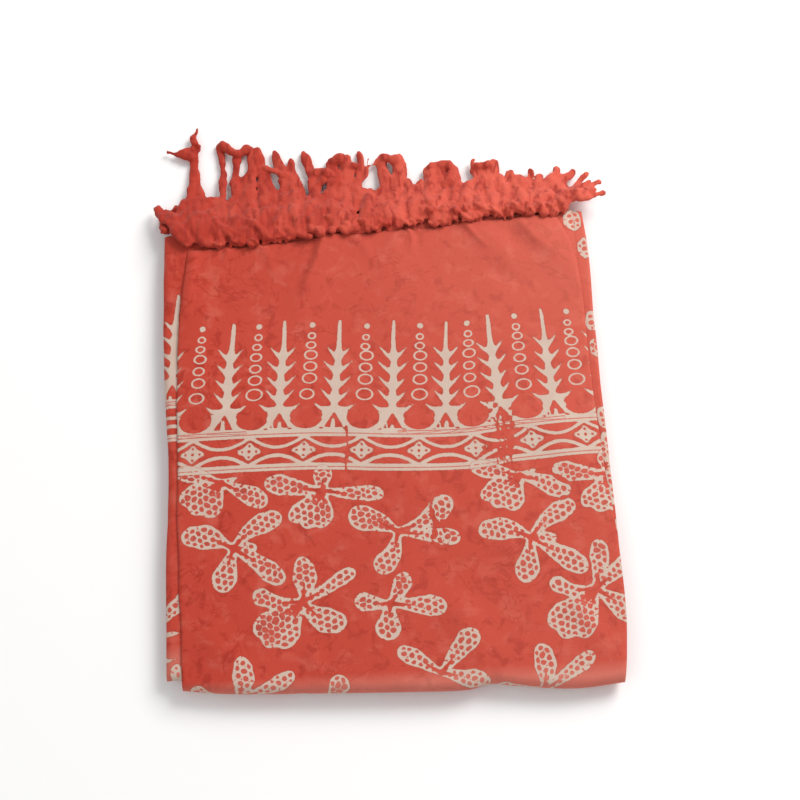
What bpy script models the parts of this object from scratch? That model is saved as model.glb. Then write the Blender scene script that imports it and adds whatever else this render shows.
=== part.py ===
"""A printed sarong with knotted fringes, folded into a flat packet that lies on a table.

The cloth is one woven length with a fringe at each short end. It is folded twice across
its width into four quarters, then in half along its length and in thirds, so both fringed
ends lie at the far edge of the packet. The leaves that show are thin walls of their own.
The layers between them are one rounded solid whose edges are layered.

Metres, +Z up, the packet flat on Z = 0, the fringe towards +Y.
"""

import math
from collections import namedtuple

import bmesh
import bpy
from mathutils import Vector

MM = 0.001

# Sizes of the folded packet
PACKET_HEIGHT = 16.0 * MM
WALL = 1.2 * MM
GAP = 0.3 * MM
NEAR_FOLD_DEPTH = 5.5 * MM
NEAR_FOLD_RETURN_HEIGHT = 5.4 * MM
RETURN_LENGTH = 17.0 * MM
RETURN_INSET_LEFT = 8.0 * MM
RETURN_INSET_RIGHT = 10.0 * MM
PACKET_AT = Vector((7.5 * MM, 2.0 * MM, 0.0))

# Rows of points lie closer together where a leaf bends down at its far end
ROW_CROWDING = 1.6

# The swell: every leaf is a little lower towards the packet's sides
SWELL_CENTRE = (-10.0 * MM, -32.0 * MM)
SWELL_REACH = (137.0 * MM, 154.0 * MM)
SIDE_SINK = 0.11
END_SINK = 0.05
FAR_SINK = 0.10
FAR_SINK_FROM_Y = 98.0 * MM
FAR_SINK_RUN = 22.0 * MM
WAVE_SINK = 0.012
WAVE_LENGTH = 170.0 * MM

EdgePoint = namedtuple("EdgePoint", "along out")

# The top leaf: x of its side edges at each y, and y of its end edges at each x
TOP_LEFT = [
    EdgePoint(-0.185, -0.1345),
    EdgePoint(-0.150, -0.1360),
    EdgePoint(-0.050, -0.1375),
    EdgePoint(0.023, -0.1367),
    EdgePoint(0.060, -0.1352),
    EdgePoint(0.105, -0.1300),
]
TOP_RIGHT = [
    EdgePoint(-0.188, 0.1205),
    EdgePoint(-0.172, 0.1228),
    EdgePoint(-0.130, 0.1252),
    EdgePoint(-0.090, 0.1238),
    EdgePoint(-0.045, 0.1208),
    EdgePoint(0.005, 0.1190),
    EdgePoint(0.118, 0.1175),
]
TOP_FAR = [
    EdgePoint(-0.135, 0.1040),
    EdgePoint(-0.085, 0.1050),
    EdgePoint(-0.040, 0.1090),
    EdgePoint(0.018, 0.1120),
    EdgePoint(0.060, 0.1150),
    EdgePoint(0.120, 0.1180),
]
TOP_NEAR = [
    EdgePoint(-0.137, -0.1765),
    EdgePoint(-0.110, -0.1800),
    EdgePoint(-0.060, -0.1825),
    EdgePoint(0.000, -0.1845),
    EdgePoint(0.048, -0.1838),
    EdgePoint(0.092, -0.1880),
    EdgePoint(0.124, -0.1852),
]

TOP_COLUMNS = 20

# The second leaf, which shows as a strip along the left
SECOND_LEFT_X = -145.8 * MM
SECOND_EDGE_COLUMNS = (0.0, 1.2 * MM, 3.4 * MM, 9.0 * MM, 15.0 * MM)
SECOND_LEFT_NEAR_Y = -170.5 * MM
SECOND_BLEND_X = (-139.0 * MM, -124.0 * MM)
SECOND_EDGE_ROLL = 2.0 * MM
SECOND_EDGE_ROLL_WIDTH = 3.4 * MM

# The right leaf, a fold of the layers below that shows as a strip along the right
RIGHT_OUTER = [
    EdgePoint(-0.170, 0.1205),
    EdgePoint(-0.150, 0.1228),
    EdgePoint(-0.120, 0.1256),
    EdgePoint(-0.050, 0.1250),
    EdgePoint(0.030, 0.1248),
    EdgePoint(0.090, 0.1258),
    EdgePoint(0.122, 0.1242),
]
RIGHT_FOLD_TOP = 13.0 * MM
RIGHT_FOLD_BOTTOM = 8.4 * MM
RIGHT_INNER_X = 98.0 * MM
RIGHT_NEAR_Y = -168.0 * MM
RIGHT_FAR_Y = 120.8 * MM

# The far edge of the packet runs a little askew
FAR_EDGE_Y = 119.3 * MM
FAR_EDGE_SLOPE = 0.019

# The hidden layers: heights of each layer and how far its folded edges reach.
# near and far are measured inwards from the packet's near fold and far edge.
Layer = namedtuple("Layer", "low high left right near far")
HIDDEN_LAYERS = [
    Layer(0.0, 1.7, -142.0, 122.0, 11.0, 3.5),
    Layer(1.7, 3.4, -144.6, 120.0, 7.5, 1.0),
    Layer(3.4, 5.1, -141.5, 122.5, 9.0, 0.5),
    Layer(5.1, 6.9, -144.0, 119.5, 31.0, 0.0),
    Layer(6.9, 8.4, -140.5, 123.0, 5.0, 0.8),
    Layer(8.4, 9.9, -143.8, 95.0, 5.6, 1.8),
    Layer(9.9, 11.5, -141.0, 117.4, 5.0, 4.5),
    Layer(11.5, 13.0, -139.5, 95.0, 5.8, 11.0),
]
GROOVE_DEPTH = 2.6 * MM
LEAF_EDGE_ROUND = 0.3 * MM
CORNER_RADIUS = 9.0 * MM
MIDDLE_Y = -30.0 * MM
CAP_SHARES = (0.88, 0.70, 0.46, 0.22)
SIDE_SEGMENTS = 8
CORNER_SEGMENTS = 3

# Each hidden layer's edge wanders in its own way
EDGE_WANDER = 0.5 * MM
EDGE_WANDER_LENGTH = 145.0 * MM
EDGE_WANDER_SHIFT = 1.7

# Creases that stand up from the top leaf, each along a line on it, lower at its far end
CREASE_TAPER = 0.55
Crease = namedtuple("Crease", "x0 y0 x1 y1 height width")
CREASES = [
    Crease(-38.0, 112.0, -60.0, 60.0, 1.6, 9.0),
    Crease(2.0, 112.0, -4.0, 88.0, 0.8, 7.0),
    Crease(52.0, 116.0, 74.0, 84.0, 1.1, 8.0),
    Crease(92.0, 116.0, 116.0, 72.0, 1.3, 10.0),
    Crease(-128.0, 74.0, -122.0, 10.0, 0.8, 12.0),
    Crease(28.0, -140.0, 44.0, -176.0, 1.2, 11.0),
    Crease(-118.0, -150.0, -96.0, -176.0, 0.9, 10.0),
    Crease(96.0, -30.0, 118.0, -92.0, 0.9, 14.0),
]

# The fringes: a row of knots, two or three locks from each
UPPER_KNOTS = 35
LOWER_KNOTS = 30
UPPER_LOCKS_PER_KNOT = 3
LOWER_LOCKS_PER_KNOT = 2
UPPER_SPAN = (-129.5 * MM, 113.0 * MM)
LOWER_SPAN = (-145.0 * MM, 112.0 * MM)
KNOT_RADIUS = 2.5 * MM
NECK_RADIUS = 1.5 * MM
UPPER_KNOT_HEIGHT = 18.2 * MM
LOWER_KNOT_HEIGHT = 11.6 * MM
LOCK_WIDTH = 1.9 * MM
LOCK_THICKNESS = 2.3 * MM
LOCK_TIP_SHARE = 0.45
LOCK_SPACING = 2.15 * MM
ROOT_SHARE = 0.78
ROOT_LENGTH = 0.2 * MM
UPPER_LOCK_SEGMENTS = 4
LOWER_LOCK_SEGMENTS = 3
UPPER_TIP_SPAN = (-149.0 * MM, 138.0 * MM)
LOWER_TIP_SPAN = (-149.0 * MM, 118.0 * MM)
LEAST_TIP_PITCH = 6.7 * MM
TIP_WANDER = 2.2 * MM
SPREAD_ROUNDS = 40
LOCK_UNEVEN = 0.08
KNOT_UNEVEN = 0.08
FLOOR_CLEARANCE = 0.4 * MM
UPPER_UNEVEN = 0.26
LOWER_UNEVEN = 0.30

# How far each fringe reaches past the packet's far edge, at each x
UPPER_REACH = [
    EdgePoint(-0.150, 0.034),
    EdgePoint(-0.140, 0.068),
    EdgePoint(-0.127, 0.088),
    EdgePoint(-0.113, 0.077),
    EdgePoint(-0.060, 0.066),
    EdgePoint(-0.020, 0.063),
    EdgePoint(0.030, 0.052),
    EdgePoint(0.060, 0.049),
    EdgePoint(0.095, 0.042),
    EdgePoint(0.122, 0.038),
    EdgePoint(0.130, 0.032),
    EdgePoint(0.138, 0.020),
]
LOWER_REACH = [
    EdgePoint(-0.150, 0.024),
    EdgePoint(-0.060, 0.027),
    EdgePoint(0.120, 0.021),
]

# Height of a fringe's middle at each distance past the far edge
UPPER_DRAPE = [
    EdgePoint(-0.016, 0.0178),
    EdgePoint(0.000, 0.0170),
    EdgePoint(0.008, 0.0142),
    EdgePoint(0.016, 0.0098),
    EdgePoint(0.024, 0.0066),
    EdgePoint(0.034, 0.0042),
    EdgePoint(0.046, 0.0026),
    EdgePoint(0.090, 0.0020),
]
LOWER_DRAPE = [
    EdgePoint(0.003, 0.0114),
    EdgePoint(0.008, 0.0086),
    EdgePoint(0.013, 0.0046),
    EdgePoint(0.018, 0.0026),
    EdgePoint(0.026, 0.0019),
    EdgePoint(0.060, 0.0018),
]

CORAL = (0.610, 0.095, 0.062, 1.0)
CORAL_SHADE = (0.520, 0.070, 0.045, 1.0)
CORAL_FRINGE = (0.560, 0.070, 0.045, 1.0)


def along(table, at):
    """The table's value there, on a smooth curve through its points."""
    if at <= table[0].along:
        return table[0].out
    if at >= table[-1].along:
        return table[-1].out
    k = next(i for i in range(len(table) - 1) if at <= table[i + 1].along)
    a, b = table[k], table[k + 1]
    before, after = table[max(k - 1, 0)], table[min(k + 2, len(table) - 1)]
    span = b.along - a.along
    slope_a = (b.out - before.out) / (b.along - before.along) * span
    slope_b = (after.out - a.out) / (after.along - a.along) * span
    t = (at - a.along) / span
    return (
        (2 * t**3 - 3 * t**2 + 1) * a.out
        + (t**3 - 2 * t**2 + t) * slope_a
        + (3 * t**2 - 2 * t**3) * b.out
        + (t**3 - t**2) * slope_b
    )


def mix(a, b, share):
    return a + (b - a) * share


def smooth(share):
    """0 to 1 with level ends."""
    share = min(max(share, 0.0), 1.0)
    return share * share * (3 - 2 * share)


def swell(x, y):
    """What every leaf's height is multiplied by there."""
    u = (x - SWELL_CENTRE[0]) / SWELL_REACH[0]
    v = (y - SWELL_CENTRE[1]) / SWELL_REACH[1]
    wave = math.sin(2 * math.pi * (x + 0.6 * y) / WAVE_LENGTH)
    wave += math.sin(2 * math.pi * (y - 0.4 * x) / WAVE_LENGTH + 1.3)
    over_edge = max(0.0, (y - FAR_SINK_FROM_Y) / FAR_SINK_RUN)
    return 1 - SIDE_SINK * u**4 - END_SINK * v**4 - FAR_SINK * over_edge**2 + WAVE_SINK * wave


def far_edge(x):
    return FAR_EDGE_Y + FAR_EDGE_SLOPE * x


def crease_lift(x, y):
    """How far the top leaf is lifted there by its creases."""
    lift = 0.0
    for crease in CREASES:
        start = Vector((crease.x0, crease.y0)) * MM
        run = Vector((crease.x1, crease.y1)) * MM - start
        share = (Vector((x, y)) - start).dot(run) / run.length_squared
        held = min(max(share, 0.0), 1.0)
        away = (Vector((x, y)) - start - run * held).length
        height = crease.height * MM * (1 - CREASE_TAPER * held)
        lift = max(lift, height * math.exp(-((away / (crease.width * MM)) ** 2)))
    return lift


def second_near(x):
    """y of the second leaf's near fold: inside the top leaf's, but short of it in the left strip."""
    nested = along(TOP_NEAR, x) + WALL + GAP
    share = smooth((x - SECOND_BLEND_X[0]) / (SECOND_BLEND_X[1] - SECOND_BLEND_X[0]))
    return mix(SECOND_LEFT_NEAR_Y, nested, share)


def nest_section(near_y, far_y, depth, rows, turn_rows, turn, return_length, return_rows):
    """(y, height) down a leaf from its far end, round its near fold, and back below.

    depth is how far this surface lies inside the packet's outer surface, and turn is how
    much of the half turn it makes.
    """
    centre_y = near_y + NEAR_FOLD_DEPTH - depth
    top = PACKET_HEIGHT - depth
    bottom = NEAR_FOLD_RETURN_HEIGHT + depth
    middle = (top + bottom) / 2
    across = NEAR_FOLD_DEPTH - depth
    section = [(mix(far_y, centre_y, (k / rows) ** ROW_CROWDING), top) for k in range(rows)]
    for k in range(turn_rows + 1):
        angle = turn * math.pi * k / turn_rows
        section.append(
            (centre_y - across * math.sin(angle), middle + (top - middle) * math.cos(angle))
        )
    for k in range(1, return_rows + 1):
        section.append((centre_y + return_length * k / return_rows, bottom))
    return section


def wall_mesh(name, outer, inner):
    """A closed wall between two grids of points."""
    mesh = bmesh.new()
    rows, columns = len(outer), len(outer[0])
    faces_of = []
    for grid in (outer, inner):
        faces_of.append([[mesh.verts.new(point) for point in row] for row in grid])
    front, back = faces_of
    for r in range(rows - 1):
        for c in range(columns - 1):
            mesh.faces.new((front[r][c], front[r + 1][c], front[r + 1][c + 1], front[r][c + 1]))
            mesh.faces.new((back[r][c], back[r][c + 1], back[r + 1][c + 1], back[r + 1][c]))
    rim = [(0, c) for c in range(columns)]
    rim += [(r, columns - 1) for r in range(1, rows)]
    rim += [(rows - 1, c) for c in range(columns - 2, -1, -1)]
    rim += [(r, 0) for r in range(rows - 2, 0, -1)]
    for k, (r, c) in enumerate(rim):
        r2, c2 = rim[(k + 1) % len(rim)]
        mesh.faces.new((front[r][c], front[r2][c2], back[r2][c2], back[r][c]))
    return finished(name, mesh)


def finished(name, mesh):
    """The bmesh as an object, its faces pointing out and its flat facets smoothed."""
    bmesh.ops.recalc_face_normals(mesh, faces=mesh.faces)
    data = bpy.data.meshes.new(name)
    mesh.to_mesh(data)
    mesh.free()
    data.shade_smooth()
    data.set_sharp_from_angle(angle=math.radians(40))
    piece = bpy.data.objects.new(name, data)
    bpy.context.scene.collection.objects.link(piece)
    return piece


def top_column_xs(y):
    """x of each column of the top leaf's points, at that y."""
    left, right = along(TOP_LEFT, y), along(TOP_RIGHT, y)
    return [mix(left, right, c / TOP_COLUMNS) for c in range(TOP_COLUMNS + 1)]


def top_leaf():
    """The leaf that shows, from its fringed end over the near fold and back under."""
    columns, rows, turn_rows, return_rows = TOP_COLUMNS, 17, 8, 2
    near_xs = top_column_xs(TOP_NEAR[3].out)
    far_xs = top_column_xs(TOP_FAR[3].out)
    grids = []
    for depth in (0.0, WALL):
        grid = []
        sections = [
            nest_section(
                along(TOP_NEAR, near_x) + depth,
                along(TOP_FAR, far_x),
                depth,
                rows,
                turn_rows,
                1.0,
                RETURN_LENGTH,
                return_rows,
            )
            for near_x, far_x in zip(near_xs, far_xs)
        ]
        for r in range(len(sections[0])):
            row = []
            tucked = smooth((r - rows - turn_rows) / return_rows)
            for c in range(columns + 1):
                y, height = sections[c][r]
                left = along(TOP_LEFT, y) + RETURN_INSET_LEFT * tucked
                right = along(TOP_RIGHT, y) - RETURN_INSET_RIGHT * tucked
                x = mix(left, right, c / columns)
                lift = crease_lift(x, y) if r < rows + turn_rows / 2 else 0.0
                row.append((x, y, height * swell(x, y) + lift))
            grid.append(row)
        grids.append(grid)
    return wall_mesh("top_leaf", *grids)


def second_leaf():
    """The leaf below, which shows as the left strip and carries the lower fringe."""
    rows, turn_rows = 14, 4
    xs = [SECOND_LEFT_X + inwards for inwards in SECOND_EDGE_COLUMNS]
    xs += top_column_xs(TOP_NEAR[3].out)[1:-1]
    grids = []
    for depth in (WALL + GAP, 2 * WALL + GAP):
        grid = []
        sections = []
        for x in xs:
            near_y = second_near(x) + depth - WALL - GAP
            far_y = far_edge(x) - 0.4 * MM
            sections.append(nest_section(near_y, far_y, depth, rows, turn_rows, 0.55, 0.0, 0))
        for r in range(len(sections[0])):
            row = []
            for x, section in zip(xs, sections):
                y, height = section[r]
                off_edge = (x - SECOND_LEFT_X) / SECOND_EDGE_ROLL_WIDTH
                roll = SECOND_EDGE_ROLL * max(0.0, 1 - off_edge) ** 2
                row.append((x, y, (height - roll) * swell(x, y)))
            grid.append(row)
        grids.append(grid)
    return wall_mesh("second_leaf", *grids)


def right_leaf():
    """A fold of the layers below, which shows as the right strip."""
    rows, flat_rows, turn_rows = 20, 2, 6
    middle = (RIGHT_FOLD_TOP + RIGHT_FOLD_BOTTOM) / 2
    grids = []
    for depth in (0.0, WALL):
        radius = (RIGHT_FOLD_TOP - RIGHT_FOLD_BOTTOM) / 2 - depth
        grid = []
        for r in range(rows + 1):
            y = mix(RIGHT_FAR_Y, RIGHT_NEAR_Y, r / rows)
            centre_x = along(RIGHT_OUTER, y) - depth - radius
            section = [
                (mix(RIGHT_INNER_X, centre_x, k / flat_rows), middle + radius)
                for k in range(flat_rows)
            ]
            for k in range(turn_rows + 1):
                angle = math.pi * k / turn_rows
                section.append(
                    (centre_x + radius * math.sin(angle), middle + radius * math.cos(angle))
                )
            for k in range(1, flat_rows + 1):
                section.append((mix(centre_x, RIGHT_INNER_X, k / flat_rows), middle - radius))
            grid.append([(x, y, height * swell(x, y)) for x, height in section])
        grids.append(grid)
    return wall_mesh("right_leaf", *grids)


def packet_ring(left, right, near, far, height, phase):
    """A rounded rectangle of points at one height, its near and far sides bent as the packet's are."""
    near_base, far_base = along(TOP_NEAR, 0.0), far_edge(0.0)
    low_y, high_y = near_base + near, far_base - far
    radius = CORNER_RADIUS
    corners = [
        (right - radius, low_y + radius, -math.pi / 2),
        (right - radius, high_y - radius, 0.0),
        (left + radius, high_y - radius, math.pi / 2),
        (left + radius, low_y + radius, math.pi),
    ]
    flat = []
    for k, (cx, cy, start) in enumerate(corners):
        for step in range(CORNER_SEGMENTS + 1):
            angle = start + math.pi / 2 * step / CORNER_SEGMENTS
            flat.append((cx + radius * math.cos(angle), cy + radius * math.sin(angle)))
        nx, ny, next_start = corners[(k + 1) % 4]
        begin = flat[-1]
        end = (nx + radius * math.cos(next_start), ny + radius * math.sin(next_start))
        for step in range(1, SIDE_SEGMENTS):
            share = step / SIDE_SEGMENTS
            flat.append((mix(begin[0], end[0], share), mix(begin[1], end[1], share)))
    ring = []
    for x, y in flat:
        to_near = min(max((MIDDLE_Y - y) / (MIDDLE_Y - low_y), 0.0), 1.0)
        to_far = min(max((y - MIDDLE_Y) / (high_y - MIDDLE_Y), 0.0), 1.0)
        own_near = second_near(x) - WALL - GAP
        y += to_near * (own_near - near_base) + to_far * (far_edge(x) - far_base)
        x += EDGE_WANDER * math.sin(2 * math.pi * y / EDGE_WANDER_LENGTH + phase)
        ring.append(Vector((x, y, height * swell(x, y))))
    return ring


def hidden_layers():
    """All the layers that don't show, as one solid whose edges are layered."""
    rings = []
    for k, layer in enumerate(HIDDEN_LAYERS):
        low, high = layer.low * MM, layer.high * MM
        sides = (layer.left * MM, layer.right * MM, layer.near * MM, layer.far * MM)
        phase = EDGE_WANDER_SHIFT * k
        bottom_ring = low if k == 0 else low + LEAF_EDGE_ROUND
        top_ring = high if k == len(HIDDEN_LAYERS) - 1 else high - LEAF_EDGE_ROUND
        rings.append(packet_ring(*sides, bottom_ring, phase))
        rings.append(packet_ring(*sides, top_ring, phase))
        if k < len(HIDDEN_LAYERS) - 1:
            above = HIDDEN_LAYERS[k + 1]
            rings.append(
                packet_ring(
                    max(layer.left, above.left) * MM + GROOVE_DEPTH,
                    min(layer.right, above.right) * MM - GROOVE_DEPTH,
                    max(layer.near, above.near) * MM + GROOVE_DEPTH,
                    max(layer.far, above.far) * MM + GROOVE_DEPTH,
                    high,
                    phase,
                )
            )
    top = HIDDEN_LAYERS[-1]
    middle = Vector(((top.left + top.right) / 2 * MM, MIDDLE_Y, 0.0))
    edge = rings[-1]
    for share in CAP_SHARES:
        cap = []
        for point in edge:
            x, y = mix(middle.x, point.x, share), mix(middle.y, point.y, share)
            cap.append(Vector((x, y, top.high * MM * swell(x, y))))
        rings.append(cap)
    mesh = bmesh.new()
    loops = [[mesh.verts.new(point) for point in ring] for ring in rings]
    count = len(loops[0])
    for lower, upper in zip(loops, loops[1:]):
        for k in range(count):
            after = (k + 1) % count
            mesh.faces.new((lower[k], lower[after], upper[after], upper[k]))
    mesh.faces.new(reversed(loops[0]))
    peak = mesh.verts.new((middle.x, middle.y, top.high * MM * swell(middle.x, middle.y)))
    for k in range(count):
        mesh.faces.new((loops[-1][k], loops[-1][(k + 1) % count], peak))
    return finished("hidden_layers", mesh)


def jitter(k, channel):
    """An uneven but repeatable value from -1 to 1 for the k-th knot."""
    return 0.6 * math.sin(13.0 * (k + 1) + 78.2 * (channel + 1)) + 0.4 * math.sin(5.37 * k * (channel + 1))


def spread_tips(count, span):
    """x of each tassel's tip: uneven, but never closer than the locks' own width."""
    tips = []
    for k in range(count):
        even = mix(span[0], span[1], k / (count - 1))
        tips.append(even + TIP_WANDER * jitter(k, 0))
    for _ in range(SPREAD_ROUNDS):
        for k in range(count - 1):
            short = LEAST_TIP_PITCH - (tips[k + 1] - tips[k])
            if short > 0:
                tips[k] -= short / 2
                tips[k + 1] += short / 2
    return tips


def lock_rings(root, tip_x, full_reach, reach, drape, segments):
    """The four-sided sections of one lock, from its knot to its tip."""
    rings = []
    full_run = far_edge(tip_x) + full_reach - root.y
    run = far_edge(tip_x) + reach - root.y
    for k in range(1, segments + 1):
        share = k / segments
        y = root.y + run * share
        x = mix(root.x, tip_x, smooth(0.1 + 0.9 * run * share / full_run))
        past = y - far_edge(x)
        slim = mix(1.0, LOCK_TIP_SHARE, share**2)
        half_width, half_thickness = LOCK_WIDTH / 2 * slim, LOCK_THICKNESS / 2 * slim
        height = along(drape, past) * swell(x, min(y, far_edge(x)))
        height = max(height, half_thickness + FLOOR_CLEARANCE)
        slope = Vector((0.0, 1 * MM, along(drape, past + 1 * MM) - along(drape, past))).normalized()
        over = Vector((0.0, -slope.z, slope.y)) * half_thickness
        side = Vector((half_width, 0.0, 0.0))
        centre = Vector((x, y, height))
        corners = (over - side, -over - side, side - over, side + over)
        rings.append([centre + corner for corner in corners])
    return rings


def knot_rings(span, knots, locks, knot_y, knot_height):
    """Six-sided sections along a row of knots, slim between one knot and the next."""
    rings = []
    for k in range(knots * locks + 1):
        x = mix(span[0], span[1], k / (knots * locks))
        full = KNOT_RADIUS * (1 + KNOT_UNEVEN * jitter(k // locks, 3))
        radius = NECK_RADIUS if k % locks == 0 else full
        y = knot_y(x) + KNOT_RADIUS
        height = knot_height * swell(x, y)
        ring = []
        for side in range(6):
            angle = math.radians(30 + 60 * side)
            ring.append(Vector((x, y + radius * math.cos(angle), height + radius * math.sin(angle))))
        rings.append(ring)
    return rings


def fringe(name, knots, locks, span, tip_span, knot_y, knot_height, reaches, drape, segments, uneven):
    """A row of knots as one backing strip, with locks growing from the back of each knot."""
    tips = spread_tips(knots, tip_span)
    mesh = bmesh.new()
    sections = knot_rings(span, knots, locks, knot_y, knot_height)
    loops = [[mesh.verts.new(point) for point in ring] for ring in sections]
    for k, (first, second) in enumerate(zip(loops, loops[1:])):
        for side in range(5):
            mesh.faces.new((first[side], first[side + 1], second[side + 1], second[side]))
        knot, lock = divmod(k, locks)
        root = [first[0], first[5], second[5], second[0]]
        middle = sum((v.co for v in root), Vector()) / 4
        neck = [middle.lerp(v.co, ROOT_SHARE) + Vector((0, ROOT_LENGTH, 0)) for v in root]
        tip_x = tips[knot] + (lock - (locks - 1) / 2) * LOCK_SPACING
        full_reach = along(reaches, tips[knot])
        shorter = 1 - uneven * (0.5 + 0.5 * jitter(knot, 1))
        reach = full_reach * shorter * (1 - LOCK_UNEVEN * abs(jitter(k, 2)))
        loop = root
        for ring in [neck] + lock_rings(middle, tip_x, full_reach, reach, drape, segments):
            section = [mesh.verts.new(point) for point in ring]
            for side in range(4):
                after = (side + 1) % 4
                mesh.faces.new((loop[side], loop[after], section[after], section[side]))
            loop = section
        mesh.faces.new(loop)
    mesh.faces.new(loops[0])
    mesh.faces.new(loops[-1])
    return finished(name, mesh)


def cloth_material(name, colour, roughness):
    material = bpy.data.materials.new(name)
    material.use_nodes = True
    surface = material.node_tree.nodes["Principled BSDF"]
    surface.inputs["Base Color"].default_value = colour
    surface.inputs["Roughness"].default_value = roughness
    surface.inputs["Metallic"].default_value = 0.0
    return material


def main():
    for old in list(bpy.data.objects):
        bpy.data.objects.remove(old)
    packet = bpy.data.objects.new("packet", None)
    packet.location = PACKET_AT
    bpy.context.scene.collection.objects.link(packet)
    upper = fringe(
        "fringe_upper",
        UPPER_KNOTS,
        UPPER_LOCKS_PER_KNOT,
        UPPER_SPAN,
        UPPER_TIP_SPAN,
        lambda x: along(TOP_FAR, x) + GAP,
        UPPER_KNOT_HEIGHT,
        UPPER_REACH,
        UPPER_DRAPE,
        UPPER_LOCK_SEGMENTS,
        UPPER_UNEVEN,
    )
    lower = fringe(
        "fringe_lower",
        LOWER_KNOTS,
        LOWER_LOCKS_PER_KNOT,
        LOWER_SPAN,
        LOWER_TIP_SPAN,
        lambda x: far_edge(x) + GAP,
        LOWER_KNOT_HEIGHT,
        LOWER_REACH,
        LOWER_DRAPE,
        LOWER_LOCK_SEGMENTS,
        LOWER_UNEVEN,
    )
    rayon = cloth_material("printed_rayon", CORAL, 0.62)
    shaded = cloth_material("folded_rayon", CORAL_SHADE, 0.70)
    yarn = cloth_material("knotted_yarn", CORAL_FRINGE, 0.75)
    for piece, material in (
        (top_leaf(), rayon),
        (second_leaf(), rayon),
        (right_leaf(), rayon),
        (hidden_layers(), shaded),
        (upper, yarn),
        (lower, yarn),
    ):
        piece.data.materials.append(material)
        piece.parent = packet


main()
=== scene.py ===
import math
from collections import namedtuple

import bpy
from mathutils import Matrix
from mathutils.kdtree import KDTree
import numpy as np


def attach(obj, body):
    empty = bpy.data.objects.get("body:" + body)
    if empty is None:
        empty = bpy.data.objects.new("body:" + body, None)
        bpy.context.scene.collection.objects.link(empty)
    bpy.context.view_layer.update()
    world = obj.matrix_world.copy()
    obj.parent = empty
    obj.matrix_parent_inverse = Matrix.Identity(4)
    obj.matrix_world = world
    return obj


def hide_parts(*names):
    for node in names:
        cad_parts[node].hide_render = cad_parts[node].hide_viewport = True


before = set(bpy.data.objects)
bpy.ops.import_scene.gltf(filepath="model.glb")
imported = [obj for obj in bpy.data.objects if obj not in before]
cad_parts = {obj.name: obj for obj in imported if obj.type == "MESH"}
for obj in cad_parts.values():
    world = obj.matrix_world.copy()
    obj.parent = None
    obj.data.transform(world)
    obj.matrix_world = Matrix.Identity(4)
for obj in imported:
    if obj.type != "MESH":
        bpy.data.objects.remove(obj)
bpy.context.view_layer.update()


def rows_of(kind, *rows):
    """A table of that kind, one entry for each row."""
    return [kind(*row) for row in rows]


# All sizes below are millimetres on the packet unless they say otherwise. The packet's own
# zero is a point on the table near its middle, and PACKET_AT is where the frame has it.
MM = 0.001
PACKET_AT = np.array([7.5, 2.0, 0.0])

# The camera: how high it looks from, how far it is turned, and how far away it is
CAMERA_ELEVATION = 69.0
CAMERA_TURN = -3.1
CAMERA_DISTANCE = 1000.0
CAMERA_LENS = 72.0

# Heights of the leaves above the table
TOP_HEIGHT = 16.0
SECOND_HEIGHT = 14.5
CLOTH = 1.1
LOWER_CLOTH = 0.8

# The near fold of the top leaf
FOLD_DEPTH = 5.5
FOLD_RETURN_HEIGHT = 5.4
FOLD_RETURN_LENGTH = 17.0
RETURN_INSET_LEFT = 8.0
RETURN_INSET_RIGHT = 10.0

# The second leaf's near edge turns down: how far out, and how low
SECOND_TURN_DEPTH = 4.0
SECOND_TURN_LOW = 6.9

# The fold that shows at the right, and where its flat part and its strip begin
RIGHT_FOLD_RADIUS = 2.3
RIGHT_FOLD_MIDDLE = 10.7
RIGHT_FLAT_FROM = 98.0
RIGHT_STRIP_FROM = 112.0

# Rows of points along the leaves: from where, to where and how far apart
TOP_ROW_ZONES = [(112, 56, 1.5), (56, -54, 0.95), (-54, -178, 1.3)]
SECOND_ROW_ZONES = [(118, 56, 1.6), (56, -54, 0.95), (-54, -170, 1.3)]
RIGHT_ROW_ZONES = [(120.8, -168.0, 1.2)]
TOP_COLUMNS = 270

# The swell: every leaf is a little lower towards the packet's sides
SWELL_CENTRE = (-10.0, -32.0)
SWELL_REACH = (137.0, 154.0)
SIDE_SINK = 0.11
END_SINK = 0.05
FAR_SINK = 0.10
FAR_SINK_FROM_Y = 98.0
FAR_SINK_RUN = 22.0
WAVE_SINK = 0.012
WAVE_LENGTH = 170.0
FAR_EDGE_Y = 119.3
FAR_EDGE_SLOPE = 0.019

EdgePoint = namedtuple("EdgePoint", "along out")
TOP_LEFT = rows_of(
    EdgePoint,
    (-185, -134.5), (-150, -136), (-50, -137.5), (23, -136.7), (60, -135.2), (105, -130),
)
TOP_RIGHT = rows_of(
    EdgePoint,
    (-188, 120.5), (-172, 122.8), (-130, 125.2), (-90, 123.8), (-45, 120.8), (5, 119), (60, 118.4),
    (95, 115), (118, 106.5),
)
TOP_FAR = rows_of(
    EdgePoint,
    (-135, 104), (-85, 105), (-40, 109), (18, 112), (60, 115), (120, 118),
)
TOP_NEAR = rows_of(
    EdgePoint,
    (-137, -176.5), (-110, -180), (-60, -182.5), (0, -184.8), (30, -185.2), (43, -182.4),
    (54, -184), (92, -187.6), (124, -185.2),
)
SECOND_LEFT = rows_of(
    EdgePoint,
    (-172, -144.8), (-100, -144.6), (-70, -143.4), (-30, -143.2), (5, -145.2), (60, -145.9),
    (118, -145.4),
)
SECOND_NEAR_Y = -170.5
RIGHT_OUTER = rows_of(
    EdgePoint,
    (-170, 120.5), (-150, 122.8), (-120, 125.6), (-50, 125), (30, 124.8), (90, 125.8),
    (122, 124.2),
)

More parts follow.
